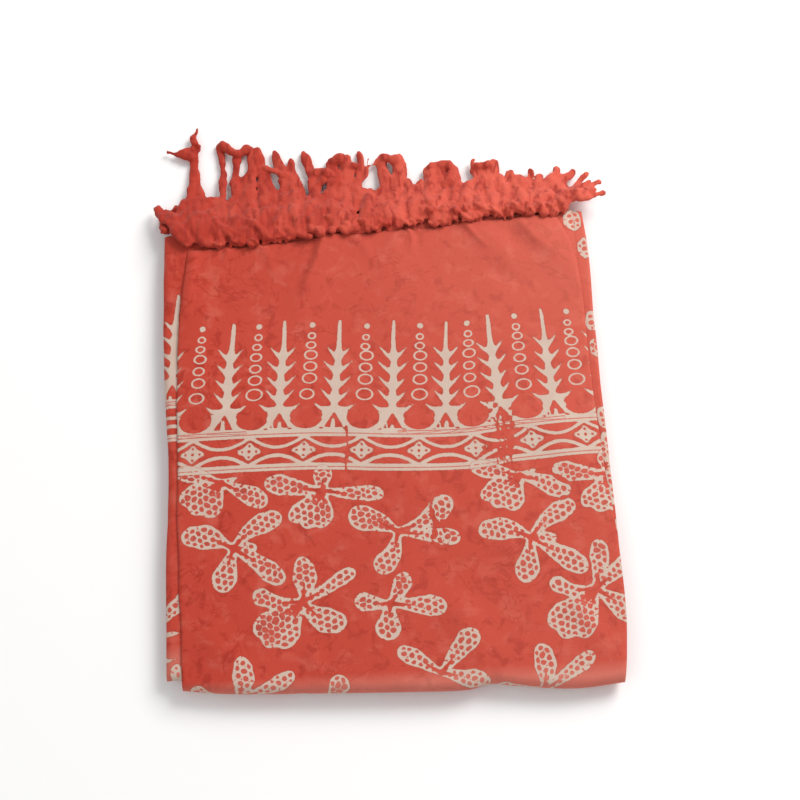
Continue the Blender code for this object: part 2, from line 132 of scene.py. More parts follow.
# Creases and dents in the top leaf, each along a line on it. A negative height is a trough.
CREASE_GAIN = 1.9
CREASE_BOW = 2.0
Crease = namedtuple("Crease", "x0 y0 x1 y1 height width")
CREASES = rows_of(
    Crease,
    (-38, 112, -60, 60, 1.6, 9), (-43, 108, -58, 70, 0.9, 2.2), (-49, 108, -62, 76, -0.5, 2.6),
    (2, 112, -4, 88, 0.8, 7), (11, 112, 12, 96, 0.7, 1.6), (15, 111, 17, 99, -0.4, 1.8),
    (52, 116, 74, 84, 1.1, 8), (48, 113, 60, 97, 0.8, 2), (92, 116, 116, 72, 1.3, 10),
    (84, 112, 104, 90, 0.7, 3), (76, 106, 84, 96, -0.5, 4.5), (66, 78, 78, 70, -0.5, 6),
    (-128, 74, -122, 10, 0.8, 12), (-126, 100, -131, 60, 0.7, 3), (-104, 104, -112, 84, 0.6, 2.6),
    (-84, 104, -76, 86, 0.5, 3), (-24, 108, -14, 90, 0.5, 3.4), (28, -140, 44, -176, 1.2, 11),
    (-118, -150, -96, -176, 0.9, 10), (-60, -160, -52, -182, 0.6, 5), (96, -30, 118, -92, 0.9, 14),
    (98, -142, 118, -170, 0.8, 7), (-20, -30, 30, -74, 0.5, 16), (-110, -10, -60, 8, 0.45, 14),
    (60, -100, 96, -112, 0.45, 10), (-46, -104, -20, -122, -0.4, 12), (40, -188, 47, -170, -1, 5),
)

# The stamped border. Each plant stands on the guard line at base_x and leans to tip_x.
Plant = namedtuple("Plant", "base_x tip_x")
PLANTS = rows_of(
    Plant,
    (-174.5, -168), (-145, -140), (-108.8, -101.3), (-75.9, -69.3), (-42.4, -34.6), (-6.2, -1.2),
    (26.6, 31.4), (61.2, 57), (94.5, 90.9), (127, 123), (160, 156),
)
GUARD_LINE = rows_of(
    EdgePoint,
    (-180, -22), (-127, -22.2), (-61, -22.6), (-37, -23.9), (-7, -26.3), (33, -27.5), (51, -26.4),
    (66, -24.3), (93, -22.7), (120, -21.2), (170, -20.5),
)
# The lines midway between two plants, which the rings and rosettes stand on
RING_COLUMNS = [
    Plant((a.base_x + b.base_x) / 2, (a.tip_x + b.tip_x) / 2) for a, b in zip(PLANTS, PLANTS[1:])
]
PLANT_PITCH = 33.0
PLANT_HEIGHT = 73.0
TrunkPoint = namedtuple("TrunkPoint", "height half_width")
TRUNK = rows_of(
    TrunkPoint,
    (12, 2), (17, 1.6), (22.5, 2.8), (27, 1.8), (31.5, 2.8), (36.5, 1.9), (41.5, 2.7), (46, 1.7),
    (51, 2.4), (55.5, 1.5), (60, 1.35), (68, 1.2), (PLANT_HEIGHT, 0.9),
)
Thorn = namedtuple("Thorn", "root tip span")
THORNS = rows_of(
    Thorn,
    (50, 55.8, 8.6), (40.5, 45.6, 8.8), (30.4, 36, 9.2), (21.2, 26.8, 8.6),
)
TRUNK_FOOT = 12.0
PLANT_FILLET = 1.6
# Strokes of a plant's foot: both ends and the half width at each
FOOT_STROKES = [
    ((4.4, 13.4), (8.6, 14.6), 2.2, 1.1),
    ((8.6, 14.6), (12.6, 17.6), 1.1, 0.25),
    ((0.6, 15.4), (5.2, 8.0), 1.7, 2.2),
]
BLOCK_TOP = 12.5
DISC_HEIGHT = 8.9
DISC_HALF_WIDTH = 10.0
DISC_HALF_HEIGHT = 7.8
HOUSE_TOP = 12.8
GUARD_BAND = (0.9, -4.0)
GUARD_GROOVE = -1.9
UPPER_GROOVE = 0.35
BETWEEN_GROOVES = -12.0
SCALLOP_TOP = -3.8
SCALLOP_SAG = 6.6
SCALLOP_LINE = 1.05
LOWER_CUSP = -21.8
LOWER_BAND = (-21.0, -25.4)
LOWER_GROOVE = -23.4
ROSETTE_AT = -12.6
ROSETTE_HOLES = [(0, 0, 1.0), (4.3, 0, 0.8), (-4.3, 0, 0.8), (0, 3.5, 0.85), (0, -3.5, 0.8)]
Ring = namedtuple("Ring", "height half_width half_height")
RINGS = rows_of(
    Ring,
    (62.6, 2.1, 1.9), (56.4, 2.8, 2.1), (49.6, 3.6, 2.7), (41.8, 3.6, 2.7), (33.8, 3.9, 3),
    (24, 4.6, 3.5),
)
RING_LINE = 0.5
DOT_HEIGHT = 70.0
DOT_RADIUS = 1.9

# Where one stamp's print ends and the next begins, in one clean line and one of three lines
JOINTS = (-34.8, 57.4, 61.2, 65.5)
JOINT_TOP = 3.0

# The strip at the left shows another stretch of the border, this much farther up
STRIP_PRINT_SHIFT = 23.0
STRIP_PRINT_ASIDE = 3.6

# Round the second joint the print is torn up, as the stamps were wiped there
BROKEN_AT = 62.0
BROKEN_REACH = 15.0

# What a distance is where a mark isn't near, in the border and in the flowers
NOWHERE = 9.0
FAR_OFF = 30.0

# Each kind of flower: its petals' tips from its centre, their widest part and where that is
Petal = namedtuple("Petal", "x y width widest bend")
FLOWERS = {
    "four": rows_of(
        Petal,
        (-30.8, 8.8, 14, 0.6, -3.6), (29.2, 18.8, 12.5, 0.66, 3.6), (29.6, -22, 12.6, 0.7, 0.8),
        (14.5, -0.5, 6, 0.6, 0), (-8, -25.6, 14.5, 0.66, 0.4),
    ),
    "five": rows_of(
        Petal,
        (1.8, 26.8, 12.5, 0.54, -1.8), (31.8, 18.1, 9, 0.74, -1), (26.4, -14.3, 14.5, 0.6, -3.6),
        (-28, -18, 13.5, 0.68, -0.5), (-21.5, -25, 15, 0.66, 0), (-12, -27, 13, 0.64, 0.5),
        (-27, 5.8, 9.6, 0.84, 2.6),
    ),
    "edge": rows_of(
        Petal,
        (4.6, 30, 11.5, 0.66, -1.4), (-26.4, 5.2, 9.8, 0.84, 2.4),
        (-28.5, -20.5, 12.5, 0.66, -0.5), (-22, -27, 14, 0.66, 0), (-11, -28.4, 12.5, 0.66, 0.5),
        (27, 19, 10, 0.72, 1), (26, -19, 14, 0.6, 0),
    ),
    "wide": rows_of(
        Petal,
        (-35.3, 6.8, 12.5, 0.75, 0), (36.7, -2.9, 9.5, 0.75, 0), (-20, -17.5, 11, 0.7, -0.5),
        (-12, -22.5, 13, 0.66, 0), (-2.5, -22.5, 11, 0.66, 1), (-0.8, 17, 11, 0.6, 0),
    ),
    "cross": rows_of(
        Petal,
        (-30.4, 13.1, 15.5, 0.68, -1.5), (32.4, 19.2, 13.5, 0.74, -1.5),
        (36.3, -4.8, 10.5, 0.76, 0), (-13.9, -24.1, 13, 0.74, 1.5),
    ),
    "half": rows_of(
        Petal,
        (-22.3, 15.2, 11, 0.66, 0.5), (22.5, 23, 13.5, 0.8, 0.5), (29, -7, 10, 0.66, 0),
    ),
    "small": rows_of(
        Petal,
        (-20.5, 2.9, 10.5, 0.8, 0.5), (9.5, 17.5, 11, 0.72, -1), (32.5, -4.5, 12, 0.68, 0.5),
        (-3.8, -21.2, 14, 0.72, 0),
    ),
    "fan": rows_of(
        Petal,
        (-28.2, 8.3, 11, 0.7, 0), (-25, -12, 11, 0.66, -0.5), (-18.5, -18.5, 13, 0.62, 0),
        (-9.5, -21.5, 13, 0.62, 0.5), (28.2, -15.5, 12.5, 0.68, 0.5), (10.7, 2.8, 2.2, 0.4, 0),
    ),
}
Flower = namedtuple("Flower", "kind x y turn")
FIELD = rows_of(
    Flower,
    ("fan", -111.2, -53.1, 0), ("four", -104.1, -95.1, 0), ("five", -65.2, -129.2, 0),
    ("wide", -49.7, -62.3, 0), ("cross", -5, -90.5, 0), ("small", -12.2, -133, 0),
    ("fan", 69, -58, 4), ("four", 73, -98.5, 4), ("edge", 108, -130.8, 0),
    ("wide", 124.5, -60.5, 4), ("half", 13.6, -175, 0), ("five", -104, -186.5, -5),
    ("five", 73.6, -189, 5), ("small", -51.5, -191.5, 0),
)
STRIP_FLOWERS = rows_of(Flower, ("five", -160, -163, 8), ("four", -163, -191, 0))
# A petal's half width is worked out at these shares of its length, and where it is widest
PETAL_SHARES = (0.06, 0.16, 0.27, 0.40, 0.54, 0.93)
# How far a flower can reach, and how far the arms of its star go along the wider petals
FLOWER_REACH = 52.0
STAR_ARM = 0.42
STAR_ARM_FROM_WIDTH = 4.0
# Coral left between two flowers, and places where the print broke
FLOWER_GAP = 1.5
Torn = namedtuple("Torn", "x y half_width half_height")
TORN = rows_of(
    Torn,
    (15.6, -78, 1.4, 25), (20.6, -92, 0.8, 9),
)

CELL_PITCH = 4.3
CELL_RADIUS = 1.56
PETAL_RIM = 0.75
CELLS_SHRINK_FROM = 1.9
CURL_HALF_WIDTH = 0.011

# Ovals of the same cells that show where lower layers peep out: x, y and half sizes
Patch = namedtuple("Patch", "x y half_width half_height")
LEFT_PATCHES = rows_of(
    Patch,
    (-139, -128, 3.4, 4.6), (-138.5, -167, 3.6, 5.4),
)
RIGHT_PATCHES = rows_of(
    Patch,
    (117.4, 113.8, 6, 8.6), (123.2, 93, 4.4, 7), (123.5, 42.5, 4.6, 7), (124.5, 24, 4.4, 6),
    (125.5, -22, 5.4, 8), (124.5, -42, 4.6, 11), (124.5, -66, 4.6, 12), (126.5, -92, 2.4, 4.4),
    (126.5, -106, 2.2, 3.4), (125.5, -137, 3, 4),
)

# Marks in the dye: old stains on the top leaf
Stain = namedtuple("Stain", "x y radius")
STAINS = rows_of(
    Stain,
    (-112.5, 105.5, 3.6), (-107, 101, 1.6), (-58.5, -90.5, 2.2),
)

# The folded layers below: heights of each, and how far its edges reach
Layer = namedtuple("Layer", "low high left right near far")
HIDDEN_LAYERS = rows_of(
    Layer,
    (0, 1.7, -142, 122, 11, 3.5), (1.7, 3.4, -144.6, 120, 7.5, 1),
    (3.4, 5.1, -141.5, 122.5, 9, 0.5), (5.1, 6.9, -144, 119.5, 31, 0),
    (6.9, 8.4, -140.5, 123, 5, 0.8), (8.4, 9.9, -143.8, 95, 5.6, 1.8),
    (9.9, 11.5, -141, 117.4, 5, 4.5), (11.5, 13, -139.5, 95, 5.8, 11),
)
# A layer's rounded edge: the share of its height, and how far the edge is drawn in there
LAYER_EDGE = [(0.02, 1.5), (0.22, 0.35), (0.5, 0.0), (0.78, 0.35), (0.98, 1.5)]
LAYER_CORNER_RADIUS = 9.0
LAYER_CORNER_STEPS = 8
LAYER_SIDE_STEPS = 60
# The layers' sides follow the near edge on one side of this line, the far edge on the other
LAYERS_MIDDLE_Y = -30.0

# Height of a fringe's middle at each distance past the far edge
UPPER_DRAPE = rows_of(
    EdgePoint,
    (-16, 17.4), (0, 16.6), (8, 14), (16, 9.8), (24, 6.6), (34, 4.2), (46, 2.6), (90, 2),
)
LOWER_DRAPE = rows_of(
    EdgePoint,
    (3, 11.4), (8, 8.6), (13, 4.6), (18, 2.6), (26, 1.9), (60, 1.8),
)
LOWER_REACH = rows_of(
    EdgePoint,
    (-150, 24), (-60, 27), (120, 21),
)

# The upper fringe's clumps as they lie: x of the knot, where the tip lies, how wide, how far
# it bows sideways, and how high it lies on its neighbours
Clump = namedtuple("Clump", "root tip_x tip_y width bow lift")
UPPER_CLUMPS = rows_of(
    Clump,
    (-131, -150.5, 142, 9.5, -3, 1.2), (-128.5, -146, 133, 11.5, 1, 0.2),
    (-124.5, -125.8, 196, 6.2, -3.2, 1), (-115, -127, 172, 4.6, 0.8, 0.3),
    (-91.5, -92.6, 165.5, 9, 0, 0.1), (-99, -99.6, 162, 7.5, 0, 0.2), (-77, -77.4, 163, 9, 0, 0.1),
    (-69.5, -69, 161, 9, 0, 0.3), (-106.5, -110.6, 187.4, 5.4, 0.6, 0.6),
    (-97.5, -98.8, 180.5, 6.2, -0.4, 0.3), (-85.5, -89.4, 183.6, 6.4, -0.6, 0.9),
    (-82, -86, 182.6, 7.7, 1.8, 0.3), (-60, -72.8, 180, 9.2, 2.6, 0.6),
    (-56.5, -62, 174.4, 6.7, 1.2, 0.2), (-47, -54, 180, 8.4, 1, 0.6),
    (-34.5, -35, 173.4, 9.9, -0.6, 0.8), (-27, -28.4, 175, 9.9, 0.3, 0.3),
    (-17, -19.6, 177.6, 6.9, 0.6, 0.6), (-1, -0.6, 172.6, 10.7, -0.4, 0.5),
    (5, 6.4, 173.4, 10.7, 0.4, 0.3), (14.5, 15, 153.2, 10, 0, 0.1), (21.5, 20, 152.6, 7, 0, 0.3),
    (28.6, 29, 163.4, 10.8, -0.4, 0.7), (35.2, 35.4, 165, 10.8, 0.3, 0.3),
    (41.4, 41.6, 164, 9.8, 0.4, 0.6), (51, 51, 147.6, 11, 0, 0.1), (60, 60.4, 161, 9.7, -0.4, 0.7),
    (66.5, 68.6, 165.6, 10.4, 0.4, 0.3), (73, 73.6, 154, 7, 0.4, 0.7),
    (79, 80.2, 157, 6.2, 0.4, 0.3), (86, 87, 152, 11, -0.5, 0.7), (92.5, 94, 157.4, 6.4, 0.5, 0.3),
    (98, 99.4, 151.6, 9, -0.4, 0.7), (99, 109.8, 157.6, 8.2, 0.8, 0.9),
    (108.5, 122, 155, 7.8, -1, 0.7), (110.5, 124, 136, 11, 0, 0.6),
    (-120.5, -124.2, 160.5, 6.4, 0, 0.1),
)

# Loose locks that lie across the others: both ends, and how wide at each
Lock = namedtuple("Lock", "x0 y0 x1 y1 start_width end_width")
LOOSE_LOCKS = rows_of(
    Lock,
    (-126.5, 182.6, -144.8, 181.2, 7, 1.4), (-127, 178.8, -142, 180.9, 7.6, 1.6),
    (-127.6, 175.4, -138, 180.6, 6.4, 2), (-127.8, 186.6, -126.8, 193, 6, 5.6),
    (-126.8, 191, -125.3, 199.4, 5.6, 1.8), (-3, 167.6, 8.4, 168.8, 7, 7),
    (-36, 169.2, -27, 170.6, 7, 6.6), (-124.6, 180.5, -122.2, 186.4, 2.6, 0.9),
    (-110.6, 185.4, -99.6, 180.8, 5.2, 6.4), (-101, 178.6, -89.5, 180.8, 5, 6),
    (-82, 166.8, -64, 160, 3.6, 5), (-49.5, 161, -36, 160.6, 6.6, 6.6), (-45, 150, -43, 160, 5, 4),
    (-27, 165.6, -18, 163.6, 4.2, 4), (-15.6, 153, -10.6, 170.6, 3.4, 1.3),
    (-12.4, 165.2, -1, 170.6, 1.8, 3), (58.2, 157, 56.8, 165.6, 2.6, 0.9),
    (116, 130, 131.2, 150.2, 7, 2.4), (116, 129.6, 131.6, 143, 7.4, 4),
    (116, 129.2, 139.2, 140.8, 7.4, 2.8), (117, 128.8, 134.4, 134.6, 7.4, 5),
    (117, 128.4, 139.8, 131, 7, 2.2), (27.4, 160.6, 43.4, 162.6, 6, 6),
    (59.4, 158.6, 69, 162, 6.4, 6.4), (-143, 136, -127.5, 106.5, 5, 4.4),
    (-117, 134, -101.5, 108, 4.4, 4.6), (-94, 124, -77.5, 107, 4.6, 5),
    (-108, 118, -92, 109.5, 3.6, 3.4), (-70, 114, -50.5, 107, 3.4, 3.2),
    (-42, 122, -26, 109, 3.4, 4), (-20, 118, -8, 110, 4, 3.4), (2, 122, 12, 110.5, 4, 3.6),
    (74, 124, 92, 117, 4.4, 3.6),
)
SECOND_KNOTS = [26.0, 34.0, 42.0, 49.0, 57.0, 64.0, 79.0, 87.0, 95.0, 104.0, 110.5]
UPPER_KNOTS = 35
UPPER_KNOT_SPAN = (-129.5, 113.0)
LOWER_KNOTS = 30
LOWER_KNOT_SPAN = (-145.0, 112.0)
WARP_YARNS = 60
# The clumps between the knots are all this wide; then the other knots' heights and sizes
FILL_WIDTH = 11.0
SECOND_KNOT_RISE = 2.2
SECOND_KNOT_SIZE = 3.0
LOWER_KNOT_HEIGHT = 11.8
LOWER_KNOT_SIZE = 2.4
FLATTENED = 0.62
LUMPS_PER_METRE = 210.0
LUMP_HEIGHT = 3.0
MATTING = 0.85
# A thinner end would break into crumbs when the yarns are matted
THINNEST = 1.05
# Painted light: how much lighter the fringe's yarns are made towards the right, where the light comes
# from
FRINGE_PAINTED_LIGHT = 0.65
# How far out the fringe still sinks with the packet's sides, and a knot's middle above the cloth
FRINGE_LEVELS_OUT = 30.0
KNOT_REST = 2.2
# Nothing of the fringes goes lower than this
LEAST_HEIGHT = 0.35
WORLD_LIGHT = 0.52
TABLE_HALF_WIDTH = 3.0

CORAL_DEEP = "#B43828"
CORAL_LIGHT = "#C84A3A"
CORAL_PALE = "#D4705F"
CORAL_RED = "#A22C1E"
CORAL_PAINTED_SHEEN = "#DE7A68"
# A paler coral for the painted sheen towards the far right, where the light comes from
CORAL_FOLD = "#D88C7C"
CREAM_LIGHT = "#D0BFAF"
CREAM_DEEP = "#C3A496"
STAIN_BROWN = "#A04A35"
SHEEN_PINK = "#F0A898"
FOLD_DEEP = "#B0442F"
FOLD_LIGHT = "#CB5A45"
YARN_DEEP = "#AE3221"
YARN_LIGHT = "#D25845"
YARN_STREAK = "#98261A"
PAPER_WHITE = "#FAFAFA"


def curve(table, at):
    """The table's values there, on a smooth curve through its points."""
    xs, ys = np.array(table, float).T
    slopes = np.empty(len(xs))
    slopes[1:-1] = (ys[2:] - ys[:-2]) / (xs[2:] - xs[:-2])
    slopes[0] = (ys[1] - ys[0]) / (xs[1] - xs[0])
    slopes[-1] = (ys[-1] - ys[-2]) / (xs[-1] - xs[-2])
    k = np.clip(np.searchsorted(xs, at) - 1, 0, len(xs) - 2)
    span = xs[k + 1] - xs[k]
    t = np.clip((at - xs[k]) / span, 0, 1)
    return (
        (2 * t**3 - 3 * t**2 + 1) * ys[k]
        + (t**3 - 2 * t**2 + t) * slopes[k] * span
        + (3 * t**2 - 2 * t**3) * ys[k + 1]
        + (t**3 - t**2) * slopes[k + 1] * span
    )


def mix(a, b, share):
    return a + (b - a) * share


def smooth(share):
    """0 to 1 with level ends."""
    share = np.clip(share, 0, 1)
    return share * share * (3 - 2 * share)


def hash01(i, j, seed):
    """An even spread of values from 0 to 1, one for each whole i, j and seed."""
    n = i.astype(np.int64) * 374761393 + j.astype(np.int64) * 668265263 + seed * 974634777
    n = n & 0xFFFFFFFF
    n = ((n ^ (n >> 13)) * 1274126177) & 0xFFFFFFFF
    return ((n ^ (n >> 16)) & 0xFFFF) / 65535.0


def noise(x, y, size, seed):
    """Smooth noise from -1 to 1 whose lumps are about that many millimetres across."""
    u, v = np.asarray(x, float) / size, np.asarray(y, float) / size
    i, j = np.floor(u), np.floor(v)
    s, t = smooth(u - i), smooth(v - j)
    low = mix(hash01(i, j, seed), hash01(i + 1, j, seed), s)
    high = mix(hash01(i, j + 1, seed), hash01(i + 1, j + 1, seed), s)
    return mix(low, high, t) * 2 - 1


def swell(x, y):
    """What every leaf's height is multiplied by there."""
    u = (x - SWELL_CENTRE[0]) / SWELL_REACH[0]
    v = (y - SWELL_CENTRE[1]) / SWELL_REACH[1]
    wave = np.sin(2 * np.pi * (x + 0.6 * y) / WAVE_LENGTH)
    wave = wave + np.sin(2 * np.pi * (y - 0.4 * x) / WAVE_LENGTH + 1.3)
    over_edge = np.maximum(0, (y - FAR_SINK_FROM_Y) / FAR_SINK_RUN)
    return 1 - SIDE_SINK * u**4 - END_SINK * v**4 - FAR_SINK * over_edge**2 + WAVE_SINK * wave


def far_edge(x):
    return FAR_EDGE_Y + FAR_EDGE_SLOPE * x


def near_edge(x):
    """Where the leaves below the top one end at the near side."""
    return mix(SECOND_NEAR_Y, curve(TOP_NEAR, x) + 1.5, smooth((x + 139.0) / 15.0))


def crease_lift(x, y):
    """How far the top leaf is lifted there by its creases and small waves."""
    lift = np.zeros_like(x)
    for k, c in enumerate(CREASES):
        run = np.array([c.x1 - c.x0, c.y1 - c.y0], float)
        share = np.clip(((x - c.x0) * run[0] + (y - c.y0) * run[1]) / run.dot(run), 0, 1)
        bow = CREASE_BOW * np.sin(0.5 * k) * np.sin(np.pi * share)
        side = np.array([-run[1], run[0]]) / math.hypot(*run)
        px, py = x - c.x0 - side[0] * bow, y - c.y0 - side[1] * bow
        share = np.clip((px * run[0] + py * run[1]) / run.dot(run), 0, 1)
        away = np.hypot(px - run[0] * share, py - run[1] * share)
        lift = lift + CREASE_GAIN * c.height * (1 - 0.6 * share) * np.exp(-((away / c.width) ** 2))
    return lift + 0.22 * noise(x + 0.5 * y, y, 34, 11) + 0.10 * noise(x, y + 0.4 * x, 13, 12)


def capsule(x, y, a, b, ra, rb):
    """Signed distance to a bar from a to b whose half width goes from ra to rb."""
    bx, by = b[0] - a[0], b[1] - a[1]
    share = np.clip(((x - a[0]) * bx + (y - a[1]) * by) / (bx * bx + by * by + 1e-9), 0, 1)
    return np.hypot(x - a[0] - bx * share, y - a[1] - by * share) - mix(ra, rb, share)


def join(a, b, blend):
    """The union of two signed distances, with a fillet that wide."""
    h = np.maximum(blend - np.abs(a - b), 0) / blend
    return np.minimum(a, b) - h * h * blend / 4


def nearest_axis(x, v, axes):
    """Sideways distance to the nearest of those leaning lines, and which one that is."""
    best = np.full(x.shape, 1e6)
    which = np.zeros(x.shape, int)
    for k, axis in enumerate(axes):
        side = x - mix(axis.base_x, axis.tip_x, v / PLANT_HEIGHT)
        closer = np.abs(side) < np.abs(best)
        best = np.where(closer, side, best)
        which = np.where(closer, k, which)
    return best, which


def uneven(which, seed):
    """One value from -1 to 1 for each plant, for what differs from one to the next."""
    return hash01(np.asarray(which), np.zeros_like(which), seed) * 2 - 1


def plant_distance(u, v, which):
    """Signed distance to one thorny plant that stands on the guard band."""
    heights, widths = np.array(TRUNK, float).T
    half = np.interp(v, heights, widths) * (1 + 0.16 * uneven(which, 3))
    stem_top = PLANT_HEIGHT + 1.2 * uneven(which, 4)
    trunk = np.maximum(np.abs(u + 0.3 * np.sin(v / 7.0 + which)) - half, v - stem_top)
    trunk = np.maximum(trunk, TRUNK_FOOT - v)
    side = np.where(u < 0, 1, 0)
    out = np.abs(u)
    for k, thorn in enumerate(THORNS):
        own = hash01(which * 2 + side, np.full_like(which, k), 5)
        span = thorn.span * (0.82 + 0.3 * own)
        tip = thorn.tip + 1.6 * (own - 0.5)
        elbow = (span * 0.5, thorn.root + 1.0)
        low = capsule(out, v, (0.8, thorn.root - 1.2), elbow, 2.1, 1.05)
        high = capsule(out, v, elbow, (span, tip), 1.05, 0.25)
        trunk = join(trunk, np.minimum(low, high), PLANT_FILLET)
    shoulder, arm, leg = [capsule(out, v, *stroke) for stroke in FOOT_STROKES]
    legs = join(np.minimum(shoulder, arm), leg, 2.0)
    return join(trunk, legs, PLANT_FILLET)


def base_distance(u, v, gap_u, which):
    """Signed distance to the cream block under a plant, with its house and the discs cut out."""
    block = np.maximum(v - BLOCK_TOP, GUARD_BAND[1] - v)
    disc = np.hypot(gap_u / DISC_HALF_WIDTH, (v - DISC_HEIGHT) / DISC_HALF_HEIGHT) - 1
    block = np.maximum(block, -disc * DISC_HALF_HEIGHT)
    inside = np.abs(u - 0.8 * uneven(which, 6)) * 0.88 + (v - HOUSE_TOP) * 0.48
    house = np.maximum(inside, 2.0 - v)
    bud_top = 6.6 + 2.0 * uneven(which, 8)
    bud = capsule(u - 1.2 * uneven(which, 7), v, (0.0, 1.0), (0.0, bud_top - 1.4), 1.6, 1.0)
    stalk = np.maximum(np.abs(u + 3.4) - 0.5, v - 5.2)
    house = np.maximum(house, -np.minimum(bud, np.where(uneven(which, 9) > 0, stalk, NOWHERE)))
    chip = capsule(np.abs(u), v, (6.8, 1.4), (8.6, 1.2), 0.7, 0.3)
    block = np.maximum(block, -house)
    return np.maximum(block, -np.where(uneven(which, 10) > -0.3, chip, NOWHERE))


def band_distance(v, gap_u):
    """Signed distance to the bands, arcs and rosettes below the plants."""
    top = np.maximum(v - GUARD_BAND[0], GUARD_BAND[1] - v)
    share = np.clip(np.abs(gap_u) / (PLANT_PITCH / 2), 0, 1)
    bulge, upright = np.sin(share * np.pi / 2), np.cos(np.arctan(0.55 * (1 - share)))
    hanging = np.abs(v - (SCALLOP_TOP - SCALLOP_SAG * bulge)) * upright - SCALLOP_LINE
    rising = np.abs(v - (LOWER_CUSP + (SCALLOP_SAG - 0.4) * bulge)) * upright - SCALLOP_LINE * 1.12
    bottom = np.maximum(v - LOWER_BAND[0], LOWER_BAND[1] - v)
    w = v - ROSETTE_AT
    wide_petals = (np.hypot(gap_u / 7.2, w / 2.7) - 1) * 2.9
    tall_petals = (np.hypot(gap_u / 2.9, w / 5.7) - 1) * 2.9
    rosette = join(wide_petals, tall_petals, 2.2)
    for dx, dy, radius in ROSETTE_HOLES:
        rosette = np.maximum(rosette, radius - np.hypot(gap_u - dx, w - dy))
    whole = np.minimum(join(top, hanging, 1.0), join(rising, bottom, 1.2))
    return np.minimum(whole, rosette)


def stamp_distance(x, y):
    """Signed distance to the border's cream, and to its rings and its thin coral lines."""
    v = y - curve(GUARD_LINE, x)
    u, which = nearest_axis(x, v, PLANTS)
    gap_u, gap = nearest_axis(x, v, RING_COLUMNS)
    cream = np.minimum(plant_distance(u, v, which), base_distance(u, v, gap_u, which))
    cream = np.minimum(cream, band_distance(v, gap_u))
    ring = np.full(x.shape, NOWHERE)
    for k, r in enumerate(RINGS):
        own = hash01(gap, np.full_like(gap, k), 21) - 0.5
        a, b = r.half_width * (1 + 0.22 * own), r.half_height * (1 + 0.22 * own)
        off = np.hypot((gap_u - 1.2 * own) / a, (v - r.height - 0.8 * own) / b) - 1
        one = off * (a + b) / 2
        ring = np.where(np.abs(one) < np.abs(ring), one, ring)
    cream = np.minimum(cream, np.hypot(gap_u, v - DOT_HEIGHT) - DOT_RADIUS)
    for joint in JOINTS:
        ragged = 0.5 * noise(x, y, 2.6, 31) + 1.6 * noise(y, x * 0.1, 30, 32)
        away = np.abs(x - joint - ragged)
        wide = 0.65 + 0.5 * noise(y, x * 0.1, 6, 33)
        cream = np.maximum(cream, np.where(v < JOINT_TOP, wide - away, -NOWHERE))
    torn_at = np.clip(1 - np.abs(x - BROKEN_AT) / BROKEN_REACH, 0, 1) * np.clip((20 - v) / 6, 0, 1)
    holes = 1.7 * noise(x, y, 1.9, 34) + 1.3 * noise(x, y, 4.5, 35) - 2.1 + 2.1 * torn_at
    cream = np.where(torn_at > 0, np.maximum(cream, holes), cream)
    groove = np.where(v > BETWEEN_GROOVES, v - GUARD_GROOVE, v - LOWER_GROOVE)
    has_upper_groove = (v > -0.9) & (np.sin(x / 31.0) > -0.1)
    return cream, ring, np.where(has_upper_groove, v - UPPER_GROOVE, groove)


def petal_distance(x, y, petal):
    """Signed distance to one petal, from its flower's centre out."""
    length = math.hypot(petal.x, petal.y)
    ax, ay = petal.x / length, petal.y / length
    s = x * ax + y * ay
    n = -x * ay + y * ax
    shares = sorted([*PETAL_SHARES, petal.widest, 0.5 + petal.widest / 2])
    half = petal.width / 2
    neck = min(2.1, half * 0.6)
    radii = []
    for share in shares:
        if share <= petal.widest:
            grown = max(0.0, (share - 0.14) / (petal.widest - 0.14)) ** 0.85
            radii.append(mix(neck, half, grown))
        else:
            fallen = (share - petal.widest) / (1 - petal.widest)
            radii.append(half * math.sqrt(max(1 - fallen**2, 0.0)))
    radii[-1] = min(radii[-1], (1 - shares[-1]) * length + half * 0.28)
    points = []
    for share, radius in zip(shares, radii):
        points.append((min(share * length, length - radius), petal.bend * math.sin(math.pi * share)))
    distance = np.full(x.shape, FAR_OFF)
    for k in range(len(shares) - 1):
        part = capsule(s, n, points[k], points[k + 1], radii[k], radii[k + 1])
        distance = join(distance, part, 1.2)
    return distance


def flower_distance(x, y, flowers):
    """Signed distances to the flowers' petals and to the coral stars at their centres."""
    petals, stars, others = [np.full(x.shape, FAR_OFF) for _ in range(3)]
    for k, flower in enumerate(flowers):
        near = (np.abs(x - flower.x) < FLOWER_REACH) & (np.abs(y - flower.y) < FLOWER_REACH)
        if not near.any():
            continue
        dx, dy = x[near] - flower.x, y[near] - flower.y
        turn = math.radians(flower.turn)
        px = dx * math.cos(turn) + dy * math.sin(turn)
        py = dy * math.cos(turn) - dx * math.sin(turn)
        px = px + 0.9 * noise(px + 40 * k, py, 13, 41)
        py = py + 0.9 * noise(px, py + 40 * k, 13, 42)
        own = np.full(px.shape, FAR_OFF)
        star = np.hypot(px, py) - 2.2
        for petal in FLOWERS[flower.kind]:
            own = join(own, petal_distance(px, py, petal), 2.6)
            if petal.width > STAR_ARM_FROM_WIDTH:
                bend = petal.bend * math.sin(math.pi * STAR_ARM) / math.hypot(petal.x, petal.y)
                end = (petal.x * STAR_ARM - petal.y * bend, petal.y * STAR_ARM + petal.x * bend)
                star = np.minimum(star, capsule(px, py, (0, 0), end, 1.5, 0.4))
        others[near] = np.minimum(others[near], np.maximum(petals[near], own))
        petals[near] = np.minimum(petals[near], own)
        stars[near] = np.minimum(stars[near], star)
    petals = np.maximum(petals, FLOWER_GAP - others)
    for torn in TORN:
        ragged = 1.8 * noise(y, x * 0, 4, 43)
        away = np.abs(x - torn.x + ragged) - torn.half_width - 1.9 * noise(x, y, 2.6, 44)
        broken = np.abs(y - torn.y) < torn.half_height
        petals = np.where(broken, np.maximum(petals, -away), petals)
    return petals, stars


